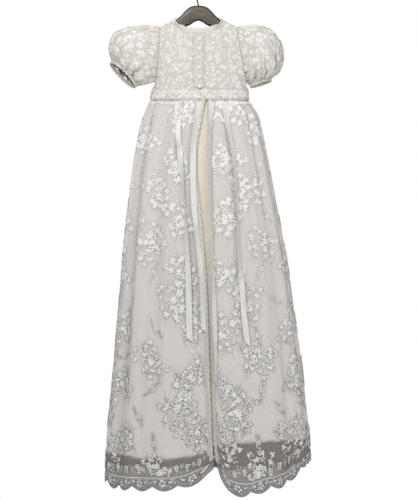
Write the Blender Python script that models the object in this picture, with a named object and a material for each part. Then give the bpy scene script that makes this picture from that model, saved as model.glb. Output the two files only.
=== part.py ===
"""A christening gown of lace over satin, hung on a small wooden hanger.

Frame: metres, +Z up. The origin is where a rail bears on the inside of the hook. The buttoned side
faces -Y, and +X is to the right of someone who looks at that side.

Every cloth piece is a wall: a grid of rows and columns is laid on the garment's form by a function, and
Solidify gives it its thickness. The tables are in millimetres, and `at_metres` turns a point into the
scene's metres.
"""

import math
from collections import namedtuple

import bmesh
import bpy
from mathutils import Matrix, Vector

MM = 0.001

# --- driving dimensions, mm -----------------------------------------------------------------------
CLOTH = 1.2  # thickness of every cloth wall
SEAM = 0.35  # gap between two pieces that are sewn edge to edge
TURNED_SEAM = 0.55  # half of the gap where two walls meet at an angle, as on the shoulder
LAP = 1.7  # from the middle of a panel to the middle of a piece sewn on top of it
ROUNDNESS = 2.4  # exponent of the oval sections: 2 is an ellipse, more is squarer

WAIST_Z = -272.0
BAND_TOP_Z, BAND_BOTTOM_Z = -244.0, -271.0
UNDERARM_Z = -228.0
NECK_X = 52.0  # half width of the neckline at the shoulder seams
NECK_FRONT_Z = -122.0
NECK_BACK_Z = -131.0
NECK_ROUND = 2.6  # exponent of the neckline's curve: 2 is an ellipse
COLLAR_HEIGHT = 9.0
COLLAR_FOOT, COLLAR_TOP = 0.985, 0.965  # the leaning collar's width at foot and top, over the neck's
SHOULDER_NOSE = 7.0  # the shoulder cloth turns over the bar within this depth
SHOULDER_HALF = 8.3  # and is this far from the bar's middle plane there
SHOULDER_EASE = 42.0  # the bodice reaches its full depth this far below the shoulder line

MIDDLE_GAP = 0.006  # share of the bodice front from the middle to each of its two edges
PLACKET_LEFT, PLACKET_RIGHT = -12.0, 13.0
PLACKET_TOP_Z = -126.0
BUTTON_X, BUTTON_RADIUS, BUTTON_HEIGHT = 3.0, 4.0, 2.6
BUTTON_TOP_Z, BUTTON_STEP, BUTTON_COUNT = -136.0, 21.0, 6
BUTTON_GAP = 0.3

BORDER_HEIGHT, BORDER_GAP = 30.0, 0.9  # scalloped lace along the hem, and its gap to the panel above
SCALLOP_DEPTH = 7.0
TRIM_WIDTH = 11.0  # lace along the two edges of the overskirt's opening
TRIM_EDGE = 0.2  # from the panel's edge to the trim's
BACK_HEM_Z = -1088.0
LINING_INSET_TOP, LINING_INSET_MORE = 2.7, 3.4  # lining's place inside the skirt: at the waist, then more
LINING_EASE = 300.0  # and reaches its full inset this far down
LINING_FULLNESS = 0.5  # its folds are softer than the skirt's
LINING_BACK_RISE = 4.0
ARMHOLE_CLEAR, ARMHOLE_TURN = 1.35, 0.7  # sleeve head from the bodice's edge, and what the edge's turn adds
SLEEVE_SWELL, SLEEVE_LOBES = 0.035, 5  # soft lobes round a puffed sleeve
CUFF_START, CUFF_LENGTH = 1.1, 7.5
CUFF_SCALLOP_DEPTH = 2.2
RIBBON_WIDTH, RIBBON_WALL = 13.0, 1.0
RIBBON_SLANT = 5.0  # the ends are cut on the slant

BAR_HALF_THICKNESS = 6.0
BAR_END_THIN = 0.72  # the bar's ends are this share of its thickness
BAR_CLEAR = 2.2  # from the top of the bar to the middle of the shoulder cloth
HOOK_WIRE, HOOK_RADIUS = 3.0, 17.5
HOLE_RADIUS, HOLE_DEPTH = 1.9, 17.0
HOOK_BOTTOM_GAP = 0.4
HOOK_NECK = ((-11.3, -31.0), (-7.2, -38.0), (-4.0, -45.5), (-1.7, -53.0), (-0.3, -59.5), (0.0, -65.0))  # x, z

# --- how finely the walls are divided -------------------------------------------------------------
BODICE_ROWS, BODICE_CROWD = 8, 1.7  # rows crowd towards the shoulder, where the cloth turns
NECK_COLUMNS, NECK_CROWD, SHOULDER_COLUMNS = 6, 2.4, 4
PLACKET_ROWS, PLACKET_COLUMNS = 5, 3
BAND_COLUMNS = 16
PANEL_ROWS, PANEL_CROWD = 12, 1.25
FRONT_COLUMNS, BACK_COLUMNS = 12, 20
SCALLOP_COLUMNS = 4  # columns of the hem lace in one scallop
LINING_ROWS, LINING_FRONT_COLUMNS, LINING_BACK_COLUMNS = 8, 16, 14
SLEEVE_COLUMNS = 20
RIBBON_ROWS = 16
BUTTON_SIDES, BUTTON_RINGS = 10, 5
BAR_SIDES, HOLE_SIDES, HOOK_STEP = 12, 12, 15
HALVINGS = 30  # steps of a search by halves
SETTLINGS = 6  # rounds for a point and its height to agree

# --- tables: a row for each section, fold or station, mm and degrees ------------------------------
Section = namedtuple("Section", "z centre half_width half_depth reach")
# reach: the angle from the middle of the front to the panel's side edge. 90 is the side seam.
BODICE = (
    Section(-60.0, 0.0, 85.0, 22.0, 62.0),
    Section(-108.0, 0.0, 85.5, 26.0, 62.0),
    Section(-135.0, 1.0, 87.0, 29.5, 60.0),
    Section(-165.0, 3.0, 90.5, 32.5, 61.0),
    Section(-195.0, 5.0, 95.0, 34.0, 68.0),
    Section(-214.0, 6.0, 97.5, 35.0, 78.0),
    Section(UNDERARM_Z, 6.0, 98.5, 35.0, 90.0),
    Section(-246.0, 3.5, 103.5, 35.5, 90.0),
    Section(WAIST_Z, 2.6, 107.0, 36.0, 90.0),
)

Level = namedtuple("Level", "z centre half_width half_depth")
SKIRT = (
    Level(WAIST_Z, 2.6, 107.2, 37.0),
    Level(-287.0, 4.5, 116.5, 43.0),
    Level(-305.0, 6.0, 125.5, 48.0),
    Level(-340.0, 6.0, 134.0, 53.0),
    Level(-402.0, 6.5, 147.0, 58.0),
    Level(-490.0, 9.5, 160.5, 63.0),
    Level(-578.0, 12.5, 173.8, 68.0),
    Level(-666.0, 16.0, 184.8, 72.0),
    Level(-754.0, 18.0, 194.7, 75.0),
    Level(-842.0, 20.5, 204.6, 78.0),
    Level(-930.0, 21.3, 213.4, 80.0),
    Level(-1018.0, 21.3, 222.2, 82.0),
    Level(-1150.0, 21.5, 225.5, 84.0),
)

Fold = namedtuple("Fold", "at width waist knee hem")
# at: angle round the skirt from the middle of the front. Heights are of ridges, or of troughs where negative.
FOLDS = (
    Fold(-76.0, 8.0, 2.0, 4.0, 5.0),
    Fold(-62.0, 9.0, -2.5, -3.5, -6.0),
    Fold(-48.0, 8.0, 3.0, 4.0, 3.0),
    Fold(-35.0, 8.0, -2.5, -4.0, -3.0),
    Fold(-23.0, 7.5, 2.5, 3.5, 5.0),
    Fold(-12.0, 7.0, -1.5, -3.0, -2.0),
    Fold(12.0, 7.0, 1.5, 2.5, 4.0),
    Fold(25.0, 8.0, -2.5, -4.0, -5.0),
    Fold(38.0, 8.0, 3.0, 4.5, 4.0),
    Fold(51.0, 8.5, -2.5, -4.0, -4.0),
    Fold(65.0, 9.0, 2.5, 4.5, 6.0),
    Fold(78.0, 8.0, -2.0, -2.5, -4.0),
    Fold(104.0, 10.0, 2.0, 4.0, 6.0),
    Fold(121.0, 10.0, -2.5, -4.5, -6.0),
    Fold(139.0, 11.0, 3.0, 4.5, 7.0),
    Fold(158.0, 11.0, -2.0, -4.0, -5.0),
    Fold(178.0, 11.0, 2.5, 4.0, 6.0),
    Fold(-162.0, 11.0, -2.5, -3.5, -6.0),
    Fold(-143.0, 11.0, 3.0, 4.5, 7.0),
    Fold(-124.0, 10.0, -2.5, -4.5, -5.0),
    Fold(-106.0, 10.0, 2.0, 3.5, 5.0),
)
KNEE_Z = -620.0
HEM_Z = -1130.0

Edge = namedtuple("Edge", "z left right")  # the two edges of the overskirt's opening
OPENING = (
    Edge(WAIST_Z, 17.0, 19.6),
    Edge(-330.0, 6.0, 20.0),
    Edge(-385.0, -2.0, 20.0),
    Edge(-440.0, -1.0, 21.5),
    Edge(-550.0, 10.0, 27.0),
    Edge(-680.0, 19.5, 24.0),
    Edge(-800.0, 24.0, 27.5),
    Edge(-1000.0, 30.0, 33.5),
    Edge(-1060.0, 34.0, 38.0),
    Edge(-1140.0, 36.0, 62.0),
)

Hem = namedtuple("Hem", "x z")
HEM_LEFT = (
    Hem(-206.0, -1110.0), Hem(-190.0, -1122.0), Hem(-150.0, -1127.0), Hem(-90.0, -1128.0),
    Hem(-40.0, -1125.0), Hem(0.0, -1110.0), Hem(22.0, -1095.0), Hem(40.0, -1084.0),
)
HEM_RIGHT = (
    Hem(40.0, -1090.0), Hem(54.0, -1112.0), Hem(66.0, -1131.0), Hem(105.0, -1141.0), Hem(147.0, -1130.0),
    Hem(190.0, -1117.0), Hem(221.0, -1091.0), Hem(236.0, -1074.0), Hem(250.0, -1066.0),
)
HEM_LINING = (
    Hem(-220.0, -1038.0), Hem(-190.0, -1044.0), Hem(-73.0, -1056.0), Hem(0.0, -1044.0), Hem(26.0, -1036.0),
    Hem(42.0, -1024.0), Hem(120.0, -1018.0), Hem(225.0, -1013.0), Hem(250.0, -1012.0),
)

Ring = namedtuple("Ring", "top_x top_z under_x under_z half_depth lean")
# lean: how far the ring's front is held back along the sleeve, so that the mouth turns to the front.
SLEEVE_LEFT = (
    Ring(-101.0, -109.0, -98.5, -228.3, 27.0, 0.0),
    Ring(-118.0, -108.5, -104.0, -231.2, 33.0, 0.0),
    Ring(-140.0, -109.0, -110.5, -233.3, 38.0, 0.0),
    Ring(-162.0, -112.5, -117.0, -235.0, 40.5, 1.0),
    Ring(-181.0, -121.5, -123.0, -235.8, 40.0, 2.0),
    Ring(-191.0, -140.0, -128.0, -236.2, 37.0, 3.5),
    Ring(-192.5, -163.0, -131.5, -236.4, 31.0, 5.5),
    Ring(-187.5, -183.0, -134.0, -236.5, 24.5, 8.0),
)
SLEEVE_RIGHT = (
    Ring(103.0, -108.5, 107.5, -228.6, 27.0, 0.0),
    Ring(121.0, -107.0, 109.0, -229.2, 33.0, 0.0),
    Ring(142.0, -108.5, 110.0, -229.9, 38.0, 0.0),
    Ring(161.5, -117.0, 110.8, -230.6, 40.5, 0.0),
    Ring(175.5, -133.0, 111.4, -231.3, 40.5, 0.0),
    Ring(184.5, -155.0, 111.9, -232.0, 38.0, 0.0),
    Ring(185.0, -184.0, 112.3, -232.7, 34.0, 1.0),
    Ring(177.0, -206.0, 112.6, -233.4, 29.0, 2.0),
    Ring(158.0, -219.5, 112.8, -234.2, 24.0, 3.0),
)

Station = namedtuple("Station", "x top under")  # half of the hanger's bar, from its middle to its end
BAR = (
    Station(0.0, -62.0, -95.5),
    Station(9.0, -62.8, -98.5),
    Station(17.0, -65.0, -104.5),
    Station(24.0, -69.5, -107.5),
    Station(31.0, -76.5, -110.0),
    Station(38.0, -84.5, -113.0),
    Station(46.0, -90.8, -116.5),
    Station(56.0, -97.0, -120.5),
    Station(71.0, -105.2, -126.0),
    Station(84.0, -112.0, -130.0),
    Station(105.0, -117.4, -134.0),
    Station(128.0, -121.3, -137.0),
    Station(143.0, -124.5, -138.5),
    Station(148.5, -127.5, -136.5),
)

Point = namedtuple("Point", "z x out turn")
# A ribbon's middle line: out is its distance in front of the skirt, and turn swings it about the vertical.
RIBBONS = {
    "ribbon_outer_left": (
        Point(-273.5, -44.5, 2.4, 0.0), Point(-300.0, -43.5, 3.2, 4.0), Point(-350.0, -41.5, 6.0, -8.0),
        Point(-382.0, -39.5, 8.5, 30.0), Point(-410.0, -38.0, 8.5, -20.0), Point(-460.0, -34.0, 8.5, -55.0),
        Point(-520.0, -30.5, 8.5, -62.0), Point(-600.0, -28.0, 8.5, -50.0), Point(-680.0, -25.0, 8.0, -25.0),
        Point(-740.0, -22.0, 6.0, 0.0), Point(-797.0, -20.0, 4.0, 10.0),
    ),
    "ribbon_inner_left": (
        Point(-273.5, 3.0, 3.4, 0.0), Point(-310.0, -4.0, 4.6, 0.0), Point(-370.0, -10.5, 5.2, 0.0),
        Point(-430.0, -12.0, 5.2, 6.0), Point(-500.0, -7.0, 5.2, 0.0), Point(-560.0, -3.5, 5.2, 8.0),
        Point(-620.0, -0.5, 6.2, 20.0), Point(-700.0, 4.5, 7.2, 30.0), Point(-776.0, 9.5, 6.4, 20.0),
    ),
    "ribbon_inner_right": (
        Point(-273.5, 30.0, 3.4, 0.0), Point(-310.0, 29.0, 5.4, 10.0), Point(-380.0, 27.5, 8.5, 40.0),
        Point(-460.0, 29.0, 9.8, 60.0), Point(-560.0, 33.0, 9.8, 60.0), Point(-660.0, 34.0, 9.8, 62.0),
        Point(-740.0, 35.5, 9.6, 45.0), Point(-790.0, 36.5, 9.6, 50.0), Point(-840.0, 38.0, 9.8, 58.0),
        Point(-890.0, 39.0, 9.8, 60.0),
    ),
    "ribbon_outer_right": (
        Point(-273.5, 58.0, 2.0, 0.0), Point(-300.0, 61.5, 3.4, -4.0), Point(-336.0, 68.0, 5.0, 8.0),
        Point(-380.0, 76.0, 6.0, 0.0), Point(-424.0, 81.0, 8.0, 20.0), Point(-500.0, 84.0, 8.5, 50.0),
        Point(-580.0, 88.0, 8.5, 55.0), Point(-640.0, 92.0, 8.5, 40.0), Point(-700.0, 96.5, 8.5, -20.0),
        Point(-750.0, 101.0, 6.0, 0.0), Point(-807.0, 105.0, 4.0, 10.0),
    ),
}


# --- reading the tables ---------------------------------------------------------------------------
def slope(keys, values, i):
    """Slope of the curve at a row, from the rows on each side of it."""
    before, after = max(i - 1, 0), min(i + 1, len(keys) - 1)
    return (values[after] - values[before]) / (keys[after] - keys[before])


def read(table, column, key):
    """A column's value at a key, on a smooth curve through a table's rows. The first column is the key."""
    keys = [row[0] for row in table]
    values = [getattr(row, column) for row in table]
    if keys[0] > keys[-1]:
        keys.reverse()
        values.reverse()
    key = min(max(key, keys[0]), keys[-1])
    i = max(k for k in range(len(keys) - 1) if keys[k] <= key)
    span = keys[i + 1] - keys[i]
    t = (key - keys[i]) / span
    bend = (1 + 2 * t) * (1 - t) ** 2 * values[i] + t * t * (3 - 2 * t) * values[i + 1]
    start, end = slope(keys, values, i), slope(keys, values, i + 1)
    return bend + span * (t * (1 - t) ** 2 * start - t * t * (1 - t) * end)


def mix(a, b, share):
    return a + (b - a) * share


def ease(t):
    """0 to 1 with a level start and end."""
    t = min(max(t, 0.0), 1.0)
    return t * t * (3.0 - 2.0 * t)


def spread(start, end, count):
    """Evenly spaced values, both ends included."""
    return [mix(start, end, i / count) for i in range(count + 1)]


def at_metres(x, y, z):
    return Vector((x * MM, y * MM, z * MM))


def oval(angle, half_width, half_depth):
    """A point of a squarish oval, by its angle in degrees from the front, -Y, towards +X."""
    s, c = math.sin(math.radians(angle)), math.cos(math.radians(angle))
    power = 2.0 / ROUNDNESS
    return (
        math.copysign(abs(s) ** power, s) * half_width,
        -math.copysign(abs(c) ** power, c) * half_depth,
    )


def outward(angle, half_width, half_depth):
    """The oval's unit normal at an angle, in plan."""
    step = 0.5
    x0, y0 = oval(angle - step, half_width, half_depth)
    x1, y1 = oval(angle + step, half_width, half_depth)
    length = math.hypot(x1 - x0, y1 - y0)
    return (y1 - y0) / length, -(x1 - x0) / length


# --- the garment's form ---------------------------------------------------------------------------
def shoulder_line(x):
    """Height of the shoulder cloth over the hanger's bar."""
    return read(BAR, "top", min(abs(x), BAR[-1].x)) + BAR_CLEAR


def neckline(x, lowest):
    """Height of a neck edge: a round U that starts nearly upright at the shoulder seams."""
    rise = shoulder_line(NECK_X) - lowest
    across = min(abs(x), NECK_X) / NECK_X
    return lowest + rise * (1.0 - math.sqrt(1.0 - across ** NECK_ROUND))


def bodice_point(share, z, side, out=0.0):
    """A point of the bodice. share runs from the middle, 0, to the armhole or side seam, 1 or -1. side is
    -1 on the buttoned side and 1 on the other."""
    reach = read(BODICE, "reach", z)
    half_depth = read(BODICE, "half_depth", z)
    angle = share * reach
    widest = oval(reach, 1.0, 1.0)[0]
    half_width = read(BODICE, "half_width", z) / widest
    x, y = oval(angle, half_width, half_depth)
    nx, ny = outward(angle, half_width, half_depth)
    x += read(BODICE, "centre", z)
    drop = max(shoulder_line(x) - z, 0.0)
    nose = math.sqrt(max(0.0, 1.0 - (1.0 - min(drop, SHOULDER_NOSE) / SHOULDER_NOSE) ** 2)) * SHOULDER_HALF
    depth = mix(nose, abs(y), ease(drop / SHOULDER_EASE)) + TURNED_SEAM
    return x + nx * out, side * (depth - ny * out), z


def bodice_top(share, lowest, side):
    """Height of the bodice's upper edge at a column: the neckline, and the shoulder seam beside it."""
    z = -110.0
    for _ in range(SETTLINGS):
        x = bodice_point(share, z, side)[0]
        z = neckline(x, lowest) if abs(x) < NECK_X else shoulder_line(x)
    return z


def fold_height(angle, z):
    """How far the skirt's folds stand out from its plain oval at an angle and a height."""
    total = 0.0
    for fold in FOLDS:
        away = (angle - fold.at + 180.0) % 360.0 - 180.0
        if z > KNEE_Z:
            height = mix(fold.knee, fold.waist, (z - KNEE_Z) / (WAIST_Z - KNEE_Z))
        else:
            height = mix(fold.knee, fold.hem, (KNEE_Z - z) / (KNEE_Z - HEM_Z))
        total += height * math.exp(-((away / fold.width) ** 2))
    return total * ease((WAIST_Z + 4.0 - z) / 40.0)


def skirt_point(angle, z, out=0.0, fullness=1.0):
    """A point of the skirt at an angle round it, moved out from its cloth by `out`."""
    half_width, half_depth = read(SKIRT, "half_width", z), read(SKIRT, "half_depth", z)
    x, y = oval(angle, half_width, half_depth)
    nx, ny = outward(angle, half_width, half_depth)
    away = out + fullness * fold_height(angle, z)
    return x + nx * away + read(SKIRT, "centre", z), y + ny * away, z


def skirt_angle(x, z):
    """The angle of the front of the skirt's oval at a place across it."""
    share = (x - read(SKIRT, "centre", z)) / read(SKIRT, "half_width", z)
    share = min(max(share, -1.0), 1.0)
    return math.degrees(math.asin(math.copysign(abs(share) ** (ROUNDNESS / 2.0), share)))


def lining_point(angle, z):
    """The lining follows the skirt inside it, with softer folds."""
    inset = LINING_INSET_TOP + LINING_INSET_MORE * ease((WAIST_Z - z) / LINING_EASE)
    return skirt_point(angle, z, -inset, LINING_FULLNESS)


# --- making meshes --------------------------------------------------------------------------------
def material(name, red, green, blue, roughness, metallic=0.0):
    made = bpy.data.materials.new(name)
    made.use_nodes = True
    shader = made.node_tree.nodes["Principled BSDF"]
    shader.inputs["Base Color"].default_value = (red, green, blue, 1.0)
    shader.inputs["Roughness"].default_value = roughness
    shader.inputs["Metallic"].default_value = metallic
    return made


def add_object(name, mesh, finish):
    obj = bpy.data.objects.new(name, mesh)
    obj.data.materials.append(finish)
    bpy.context.scene.collection.objects.link(obj)
    return obj


def grid_mesh(name, rows, closed):
    """A mesh over a grid of points, in millimetres. A closed one joins its last column to its first."""
    bm = bmesh.new()
    points = [[bm.verts.new(at_metres(*point)) for point in row] for row in rows]
    columns = len(rows[0])
    for upper, lower in zip(points, points[1:]):
        for c in range(columns if closed else columns - 1):
            n = (c + 1) % columns
            bm.faces.new((upper[c], lower[c], lower[n], upper[n]))
    mesh = bpy.data.meshes.new(name)
    bm.to_mesh(mesh)
    bm.free()
    mesh.shade_smooth()
    return mesh


def cloth(name, rows, finish, closed=False, wall=CLOTH):
    """A cloth piece: a grid of points with a wall on both sides of it."""
    obj = add_object(name, grid_mesh(name, rows, closed), finish)
    solidify = obj.modifiers.new("wall", "SOLIDIFY")
    solidify.thickness = wall * MM
    solidify.offset = 0.0
    solidify.use_even_offset = False
    return obj


# --- bodice ---------------------------------------------------------------------------------------
def bodice_rows(shares, lowest, side, bottom_z=WAIST_Z + SEAM):
    """Rows from the upper edge to the waist, close together where the cloth turns over the bar."""
    tops = [bodice_top(share, lowest, side) for share in shares]
    rows = []
    for r in range(BODICE_ROWS + 1):
        drop = (r / BODICE_ROWS) ** BODICE_CROWD
        rows.append([bodice_point(s, mix(top, bottom_z, drop), side) for s, top in zip(shares, tops)])
    return rows


def neck_share():
    """The column that meets the neck's corner on the shoulder seam."""
    low, high = 0.1, 0.95
    for _ in range(HALVINGS):
        middle = (low + high) / 2.0
        if bodice_point(middle, shoulder_line(NECK_X), -1)[0] < NECK_X:
            low = middle
        else:
            high = middle
    return low


def neck_columns():
    """Shares from the middle to the neck's corner, closer together where the neck edge turns over the bar."""
    corner = neck_share()
    return [corner * (1.0 - (1.0 - k / NECK_COLUMNS) ** NECK_CROWD) for k in range(NECK_COLUMNS)] + [corner]


def add_bodice(finish):
    half = neck_columns() + spread(neck_share(), 1.0, SHOULDER_COLUMNS)[1:]
    front = [MIDDLE_GAP] + half[1:]
    cloth("bodice_front_right", bodice_rows(front, NECK_FRONT_Z, -1), finish)
    cloth("bodice_front_left", bodice_rows([-s for s in front], NECK_FRONT_Z, -1), finish)
    whole = [-s for s in reversed(half)] + half[1:]
    cloth("bodice_back", bodice_rows(whole, NECK_BACK_Z, 1), finish)


def share_at(x, z):
    """The share of the bodice's front at a place across it."""
    low, high = -1.0, 1.0
    for _ in range(HALVINGS):
        middle = (low + high) / 2.0
        if bodice_point(middle, z, -1)[0] < x:
            low = middle
        else:
            high = middle
    return low


def add_placket(finish):
    rows = []
    for z in spread(PLACKET_TOP_Z, BAND_TOP_Z + SEAM, PLACKET_ROWS):
        across = spread(PLACKET_LEFT, PLACKET_RIGHT, PLACKET_COLUMNS)
        rows.append([bodice_point(share_at(x, z), z, -1, LAP) for x in across])
    cloth("placket", rows, finish)


def add_buttons(finish):
    out = LAP + CLOTH / 2.0 + BUTTON_GAP + BUTTON_HEIGHT / 2.0
    for i in range(BUTTON_COUNT):
        z = BUTTON_TOP_Z - i * BUTTON_STEP
        x, y, _ = bodice_point(share_at(BUTTON_X, z), z, -1, out)
        name = f"button_{i + 1}"
        mesh = bpy.data.meshes.new(name)
        bm = bmesh.new()
        bmesh.ops.create_uvsphere(
            bm, u_segments=BUTTON_SIDES, v_segments=BUTTON_RINGS, radius=BUTTON_RADIUS * MM
        )
        bm.to_mesh(mesh)
        bm.free()
        mesh.transform(Matrix.Diagonal((1.0, 1.0, BUTTON_HEIGHT / (2.0 * BUTTON_RADIUS), 1.0)))
        mesh.shade_smooth()
        obj = add_object(name, mesh, finish)
        obj.location = at_metres(x, y, z)
        obj.rotation_euler = (math.radians(90.0), 0.0, 0.0)


def add_collar(finish):
    """Lace that stands up from the neck edge, in a ring."""
    half = neck_columns()
    across = [-s for s in reversed(half)] + half[1:]
    rows = [[], []]
    for shares, lowest, side in ((across[:-1], NECK_FRONT_Z, -1), (across[:0:-1], NECK_BACK_Z, 1)):
        for i, share in enumerate(shares):
            x, y, z = bodice_point(share, bodice_top(share, lowest, side), side)
            y = 0.0 if i == 0 else y
            foot = z + SEAM + CLOTH
            rows[0].append((x * COLLAR_FOOT, y, foot))
            rows[1].append((x * COLLAR_TOP, y * COLLAR_TOP, foot + COLLAR_HEIGHT))
    cloth("collar_lace", rows, finish, closed=True)


def add_waist_band(finish):
    for name, side in (("waist_band_front", -1), ("waist_band_back", 1)):
        rows = []
        for z in (BAND_TOP_Z, BAND_BOTTOM_Z):
            rows.append([bodice_point(s, z, side, LAP) for s in spread(-1.0, 1.0, BAND_COLUMNS)])
        cloth(name, rows, finish)


# --- skirt ----------------------------------------------------------------------------------------
def hem_height(table, x):
    return read(table, "z", x)


def settle(angle_at, drop, top_z, hem_at):
    """A point's angle and height: its height is a share of the way to the hem below it."""
    z = mix(top_z, hem_at(0.0), drop)
    for _ in range(SETTLINGS):
        angle = angle_at(z)
        z = mix(top_z, hem_at(skirt_point(angle, z)[0]), drop)
    return angle, z


def panel_rows(shares, drops, angle_of, hem_at, place, top_z=WAIST_Z - SEAM):
    """Rows of a skirt piece. angle_of(share, z) is a column's angle, and hem_at(x) the height it hangs to."""
    rows = []
    for drop in drops:
        row = []
        for share in shares:
            angle, z = settle(lambda z, share=share: angle_of(share, z), drop, top_z, hem_at)
            row.append(place(angle, z))
        rows.append(row)
    return rows


def left_angle(share, z):
    return mix(skirt_angle(read(OPENING, "left", z), z), -90.0 + side_gap(z), share)


def right_angle(share, z):
    return mix(skirt_angle(read(OPENING, "right", z), z), 90.0 - side_gap(z), share)


def back_angle(share, z):
    return mix(90.0 + side_gap(z), 270.0 - side_gap(z), share)


def side_gap(z):
    """Half of a side seam's gap, as an angle of the oval."""
    return math.degrees((TURNED_SEAM / read(SKIRT, "half_depth", z)) ** (ROUNDNESS / 2.0))


def column_at(row, length):
    """The column, with its fraction, that lies a length along a row from its first point."""
    for c, (one, two) in enumerate(zip(row, row[1:])):
        step = math.dist(one, two)
        if length <= step:
            return c + length / step
        length -= step
    return len(row) - 1.0


def on_panel(rows, r, column, out=0.0):
    """A point on a panel's own grid, in row r at a column with a fraction, moved out from it."""
    c = min(int(column), len(rows[0]) - 2)
    one, two = Vector(rows[r][c]), Vector(rows[r][c + 1])
    above, below = Vector(rows[max(r - 1, 0)][c]), Vector(rows[min(r + 1, len(rows) - 1)][c])
    normal = (two - one).cross(below - above).normalized()
    if normal.y > 0.0:
        normal.negate()
    return tuple(one.lerp(two, column - c) + normal * out)


def add_overskirt(finish, lace):
    drops = [(r / PANEL_ROWS) ** PANEL_CROWD for r in range(PANEL_ROWS + 1)]
    pieces = (
        ("front_left", left_angle, HEM_LEFT, FRONT_COLUMNS),
        ("front_right", right_angle, HEM_RIGHT, FRONT_COLUMNS),
        ("back", back_angle, None, BACK_COLUMNS),
    )
    for name, angle_of, table, columns in pieces:
        def hem_at(x, table=table):
            return BACK_HEM_Z if table is None else hem_height(table, x)

        def border_top(x, hem_at=hem_at):
            return hem_at(x) + BORDER_HEIGHT

        rows = panel_rows(spread(0.0, 1.0, columns), drops, angle_of, border_top, skirt_point)
        cloth(f"overskirt_{name}", rows, finish)
        add_border(name, rows[-1], angle_of, hem_at, lace)
        if table is not None:
            add_opening_trim(name, rows, lace)


def add_border(name, panel_edge, angle_of, hem_at, lace):
    """The scalloped lace below a skirt panel, with two of its columns to each of the panel's."""
    rows = [[], []]
    columns = 2 * (len(panel_edge) - 1)
    for c, share in enumerate(spread(0.0, 1.0, columns)):
        x, y, z = on_panel([panel_edge], 0, c / 2.0)
        rows[0].append((x, y, z - BORDER_GAP))
        wave = abs(math.sin(math.pi * c / SCALLOP_COLUMNS))
        angle, low = settle(lambda z, share=share: angle_of(share, z), 1.0, WAIST_Z, hem_at)
        low += SCALLOP_DEPTH * (1.0 - wave)
        rows[1].append(skirt_point(angle_of(share, low), low))
    cloth(f"hem_lace_{name}", rows, lace)


def add_opening_trim(name, panel, lace):
    """Lace laid along a front panel's opening edge, made from the panel's own rows."""
    rows = []
    for r, row in enumerate(panel):
        columns = [column_at(row, length) for length in (TRIM_EDGE, TRIM_WIDTH)]
        rows.append([on_panel(panel, r, column, LAP) for column in columns])
    cloth(f"opening_trim_{name.removeprefix('front_')}", rows, lace)


def add_lining(finish):
    def front_angle(share, z):
        return mix(-90.0 + side_gap(z), 90.0 - side_gap(z), share)

    def front_hem(x):
        return hem_height(HEM_LINING, x)

    def back_hem(x):
        return hem_height(HEM_LINING, x) + LINING_BACK_RISE

    pieces = (
        ("front", front_angle, front_hem, LINING_FRONT_COLUMNS),
        ("back", back_angle, back_hem, LINING_BACK_COLUMNS),
    )
    drops = spread(0.0, 1.0, LINING_ROWS)
    for name, angle_of, hem_at, columns in pieces:
        rows = panel_rows(spread(0.0, 1.0, columns), drops, angle_of, hem_at, lining_point, WAIST_Z - 2.0)
        cloth(f"lining_{name}", rows, finish)


# --- sleeves --------------------------------------------------------------------------------------
def armhole_ring(side):
    """The edge of the two bodice pieces round an arm, a little clear of them."""
    top = bodice_top(side, NECK_FRONT_Z, -1)
    middle, half = (top + UNDERARM_Z) / 2.0, (top - UNDERARM_Z) / 2.0
    ring = []
    for c in range(SLEEVE_COLUMNS):
        turn = 2.0 * math.pi * c / SLEEVE_COLUMNS
        z = middle + half * math.cos(turn)
        face = -1 if math.sin(turn) >= 0.0 else 1
        x, y, _ = bodice_point(side, z, face)
        y = 0.0 if c in (0, SLEEVE_COLUMNS // 2) else y
        clear = ARMHOLE_CLEAR + ARMHOLE_TURN * max(0.0, (read(BODICE, "reach", z) - 60.0) / 30.0)
        ring.append((x + side * clear, y, z))
    return ring


def sleeve_ring(row, along=0.0, swell=0.0):
    """A ring of the sleeve, moved along the sleeve's own direction by `along`."""
    cx, cz = (row.top_x + row.under_x) / 2.0, (row.top_z + row.under_z) / 2.0
    ux, uz = (row.top_x - row.under_x) / 2.0, (row.top_z - row.under_z) / 2.0
    half = math.hypot(ux, uz)
    side = math.copysign(1.0, cx)
    axis_x, axis_z = side * uz / half, -side * ux / half
    ring = []
    for c in range(SLEEVE_COLUMNS):
        turn = 2.0 * math.pi * c / SLEEVE_COLUMNS
        grow = 1.0 + swell * math.cos(SLEEVE_LOBES * turn)
        ahead = along - row.lean * math.sin(turn)
        ring.append((
            cx + ux * math.cos(turn) * grow + axis_x * ahead,
            -row.half_depth * math.sin(turn) * grow,
            cz + uz * math.cos(turn) * grow + axis_z * ahead,
        ))
    return ring


def add_sleeves(finish, lace):
    for name, side, table in (("left", -1, SLEEVE_LEFT), ("right", 1, SLEEVE_RIGHT)):
        rows = [armhole_ring(side)]
        for i, row in enumerate(table):
            rows.append(sleeve_ring(row, swell=SLEEVE_SWELL if 0 < i < len(table) - 1 else 0.0))
        cloth(f"sleeve_{name}", rows, finish, closed=True)
        add_cuff(name, table[-1], lace)


def add_cuff(name, end, lace):
    """Lace below the sleeve's mouth, with small scallops."""
    valleys = sleeve_ring(end, along=CUFF_LENGTH)
    tips = sleeve_ring(end, along=CUFF_LENGTH + CUFF_SCALLOP_DEPTH)
    edge = [tips[c] if c % 2 else valleys[c] for c in range(SLEEVE_COLUMNS)]
    cloth(f"cuff_lace_{name}", [sleeve_ring(end, along=CUFF_START), edge], lace, closed=True)


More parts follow.
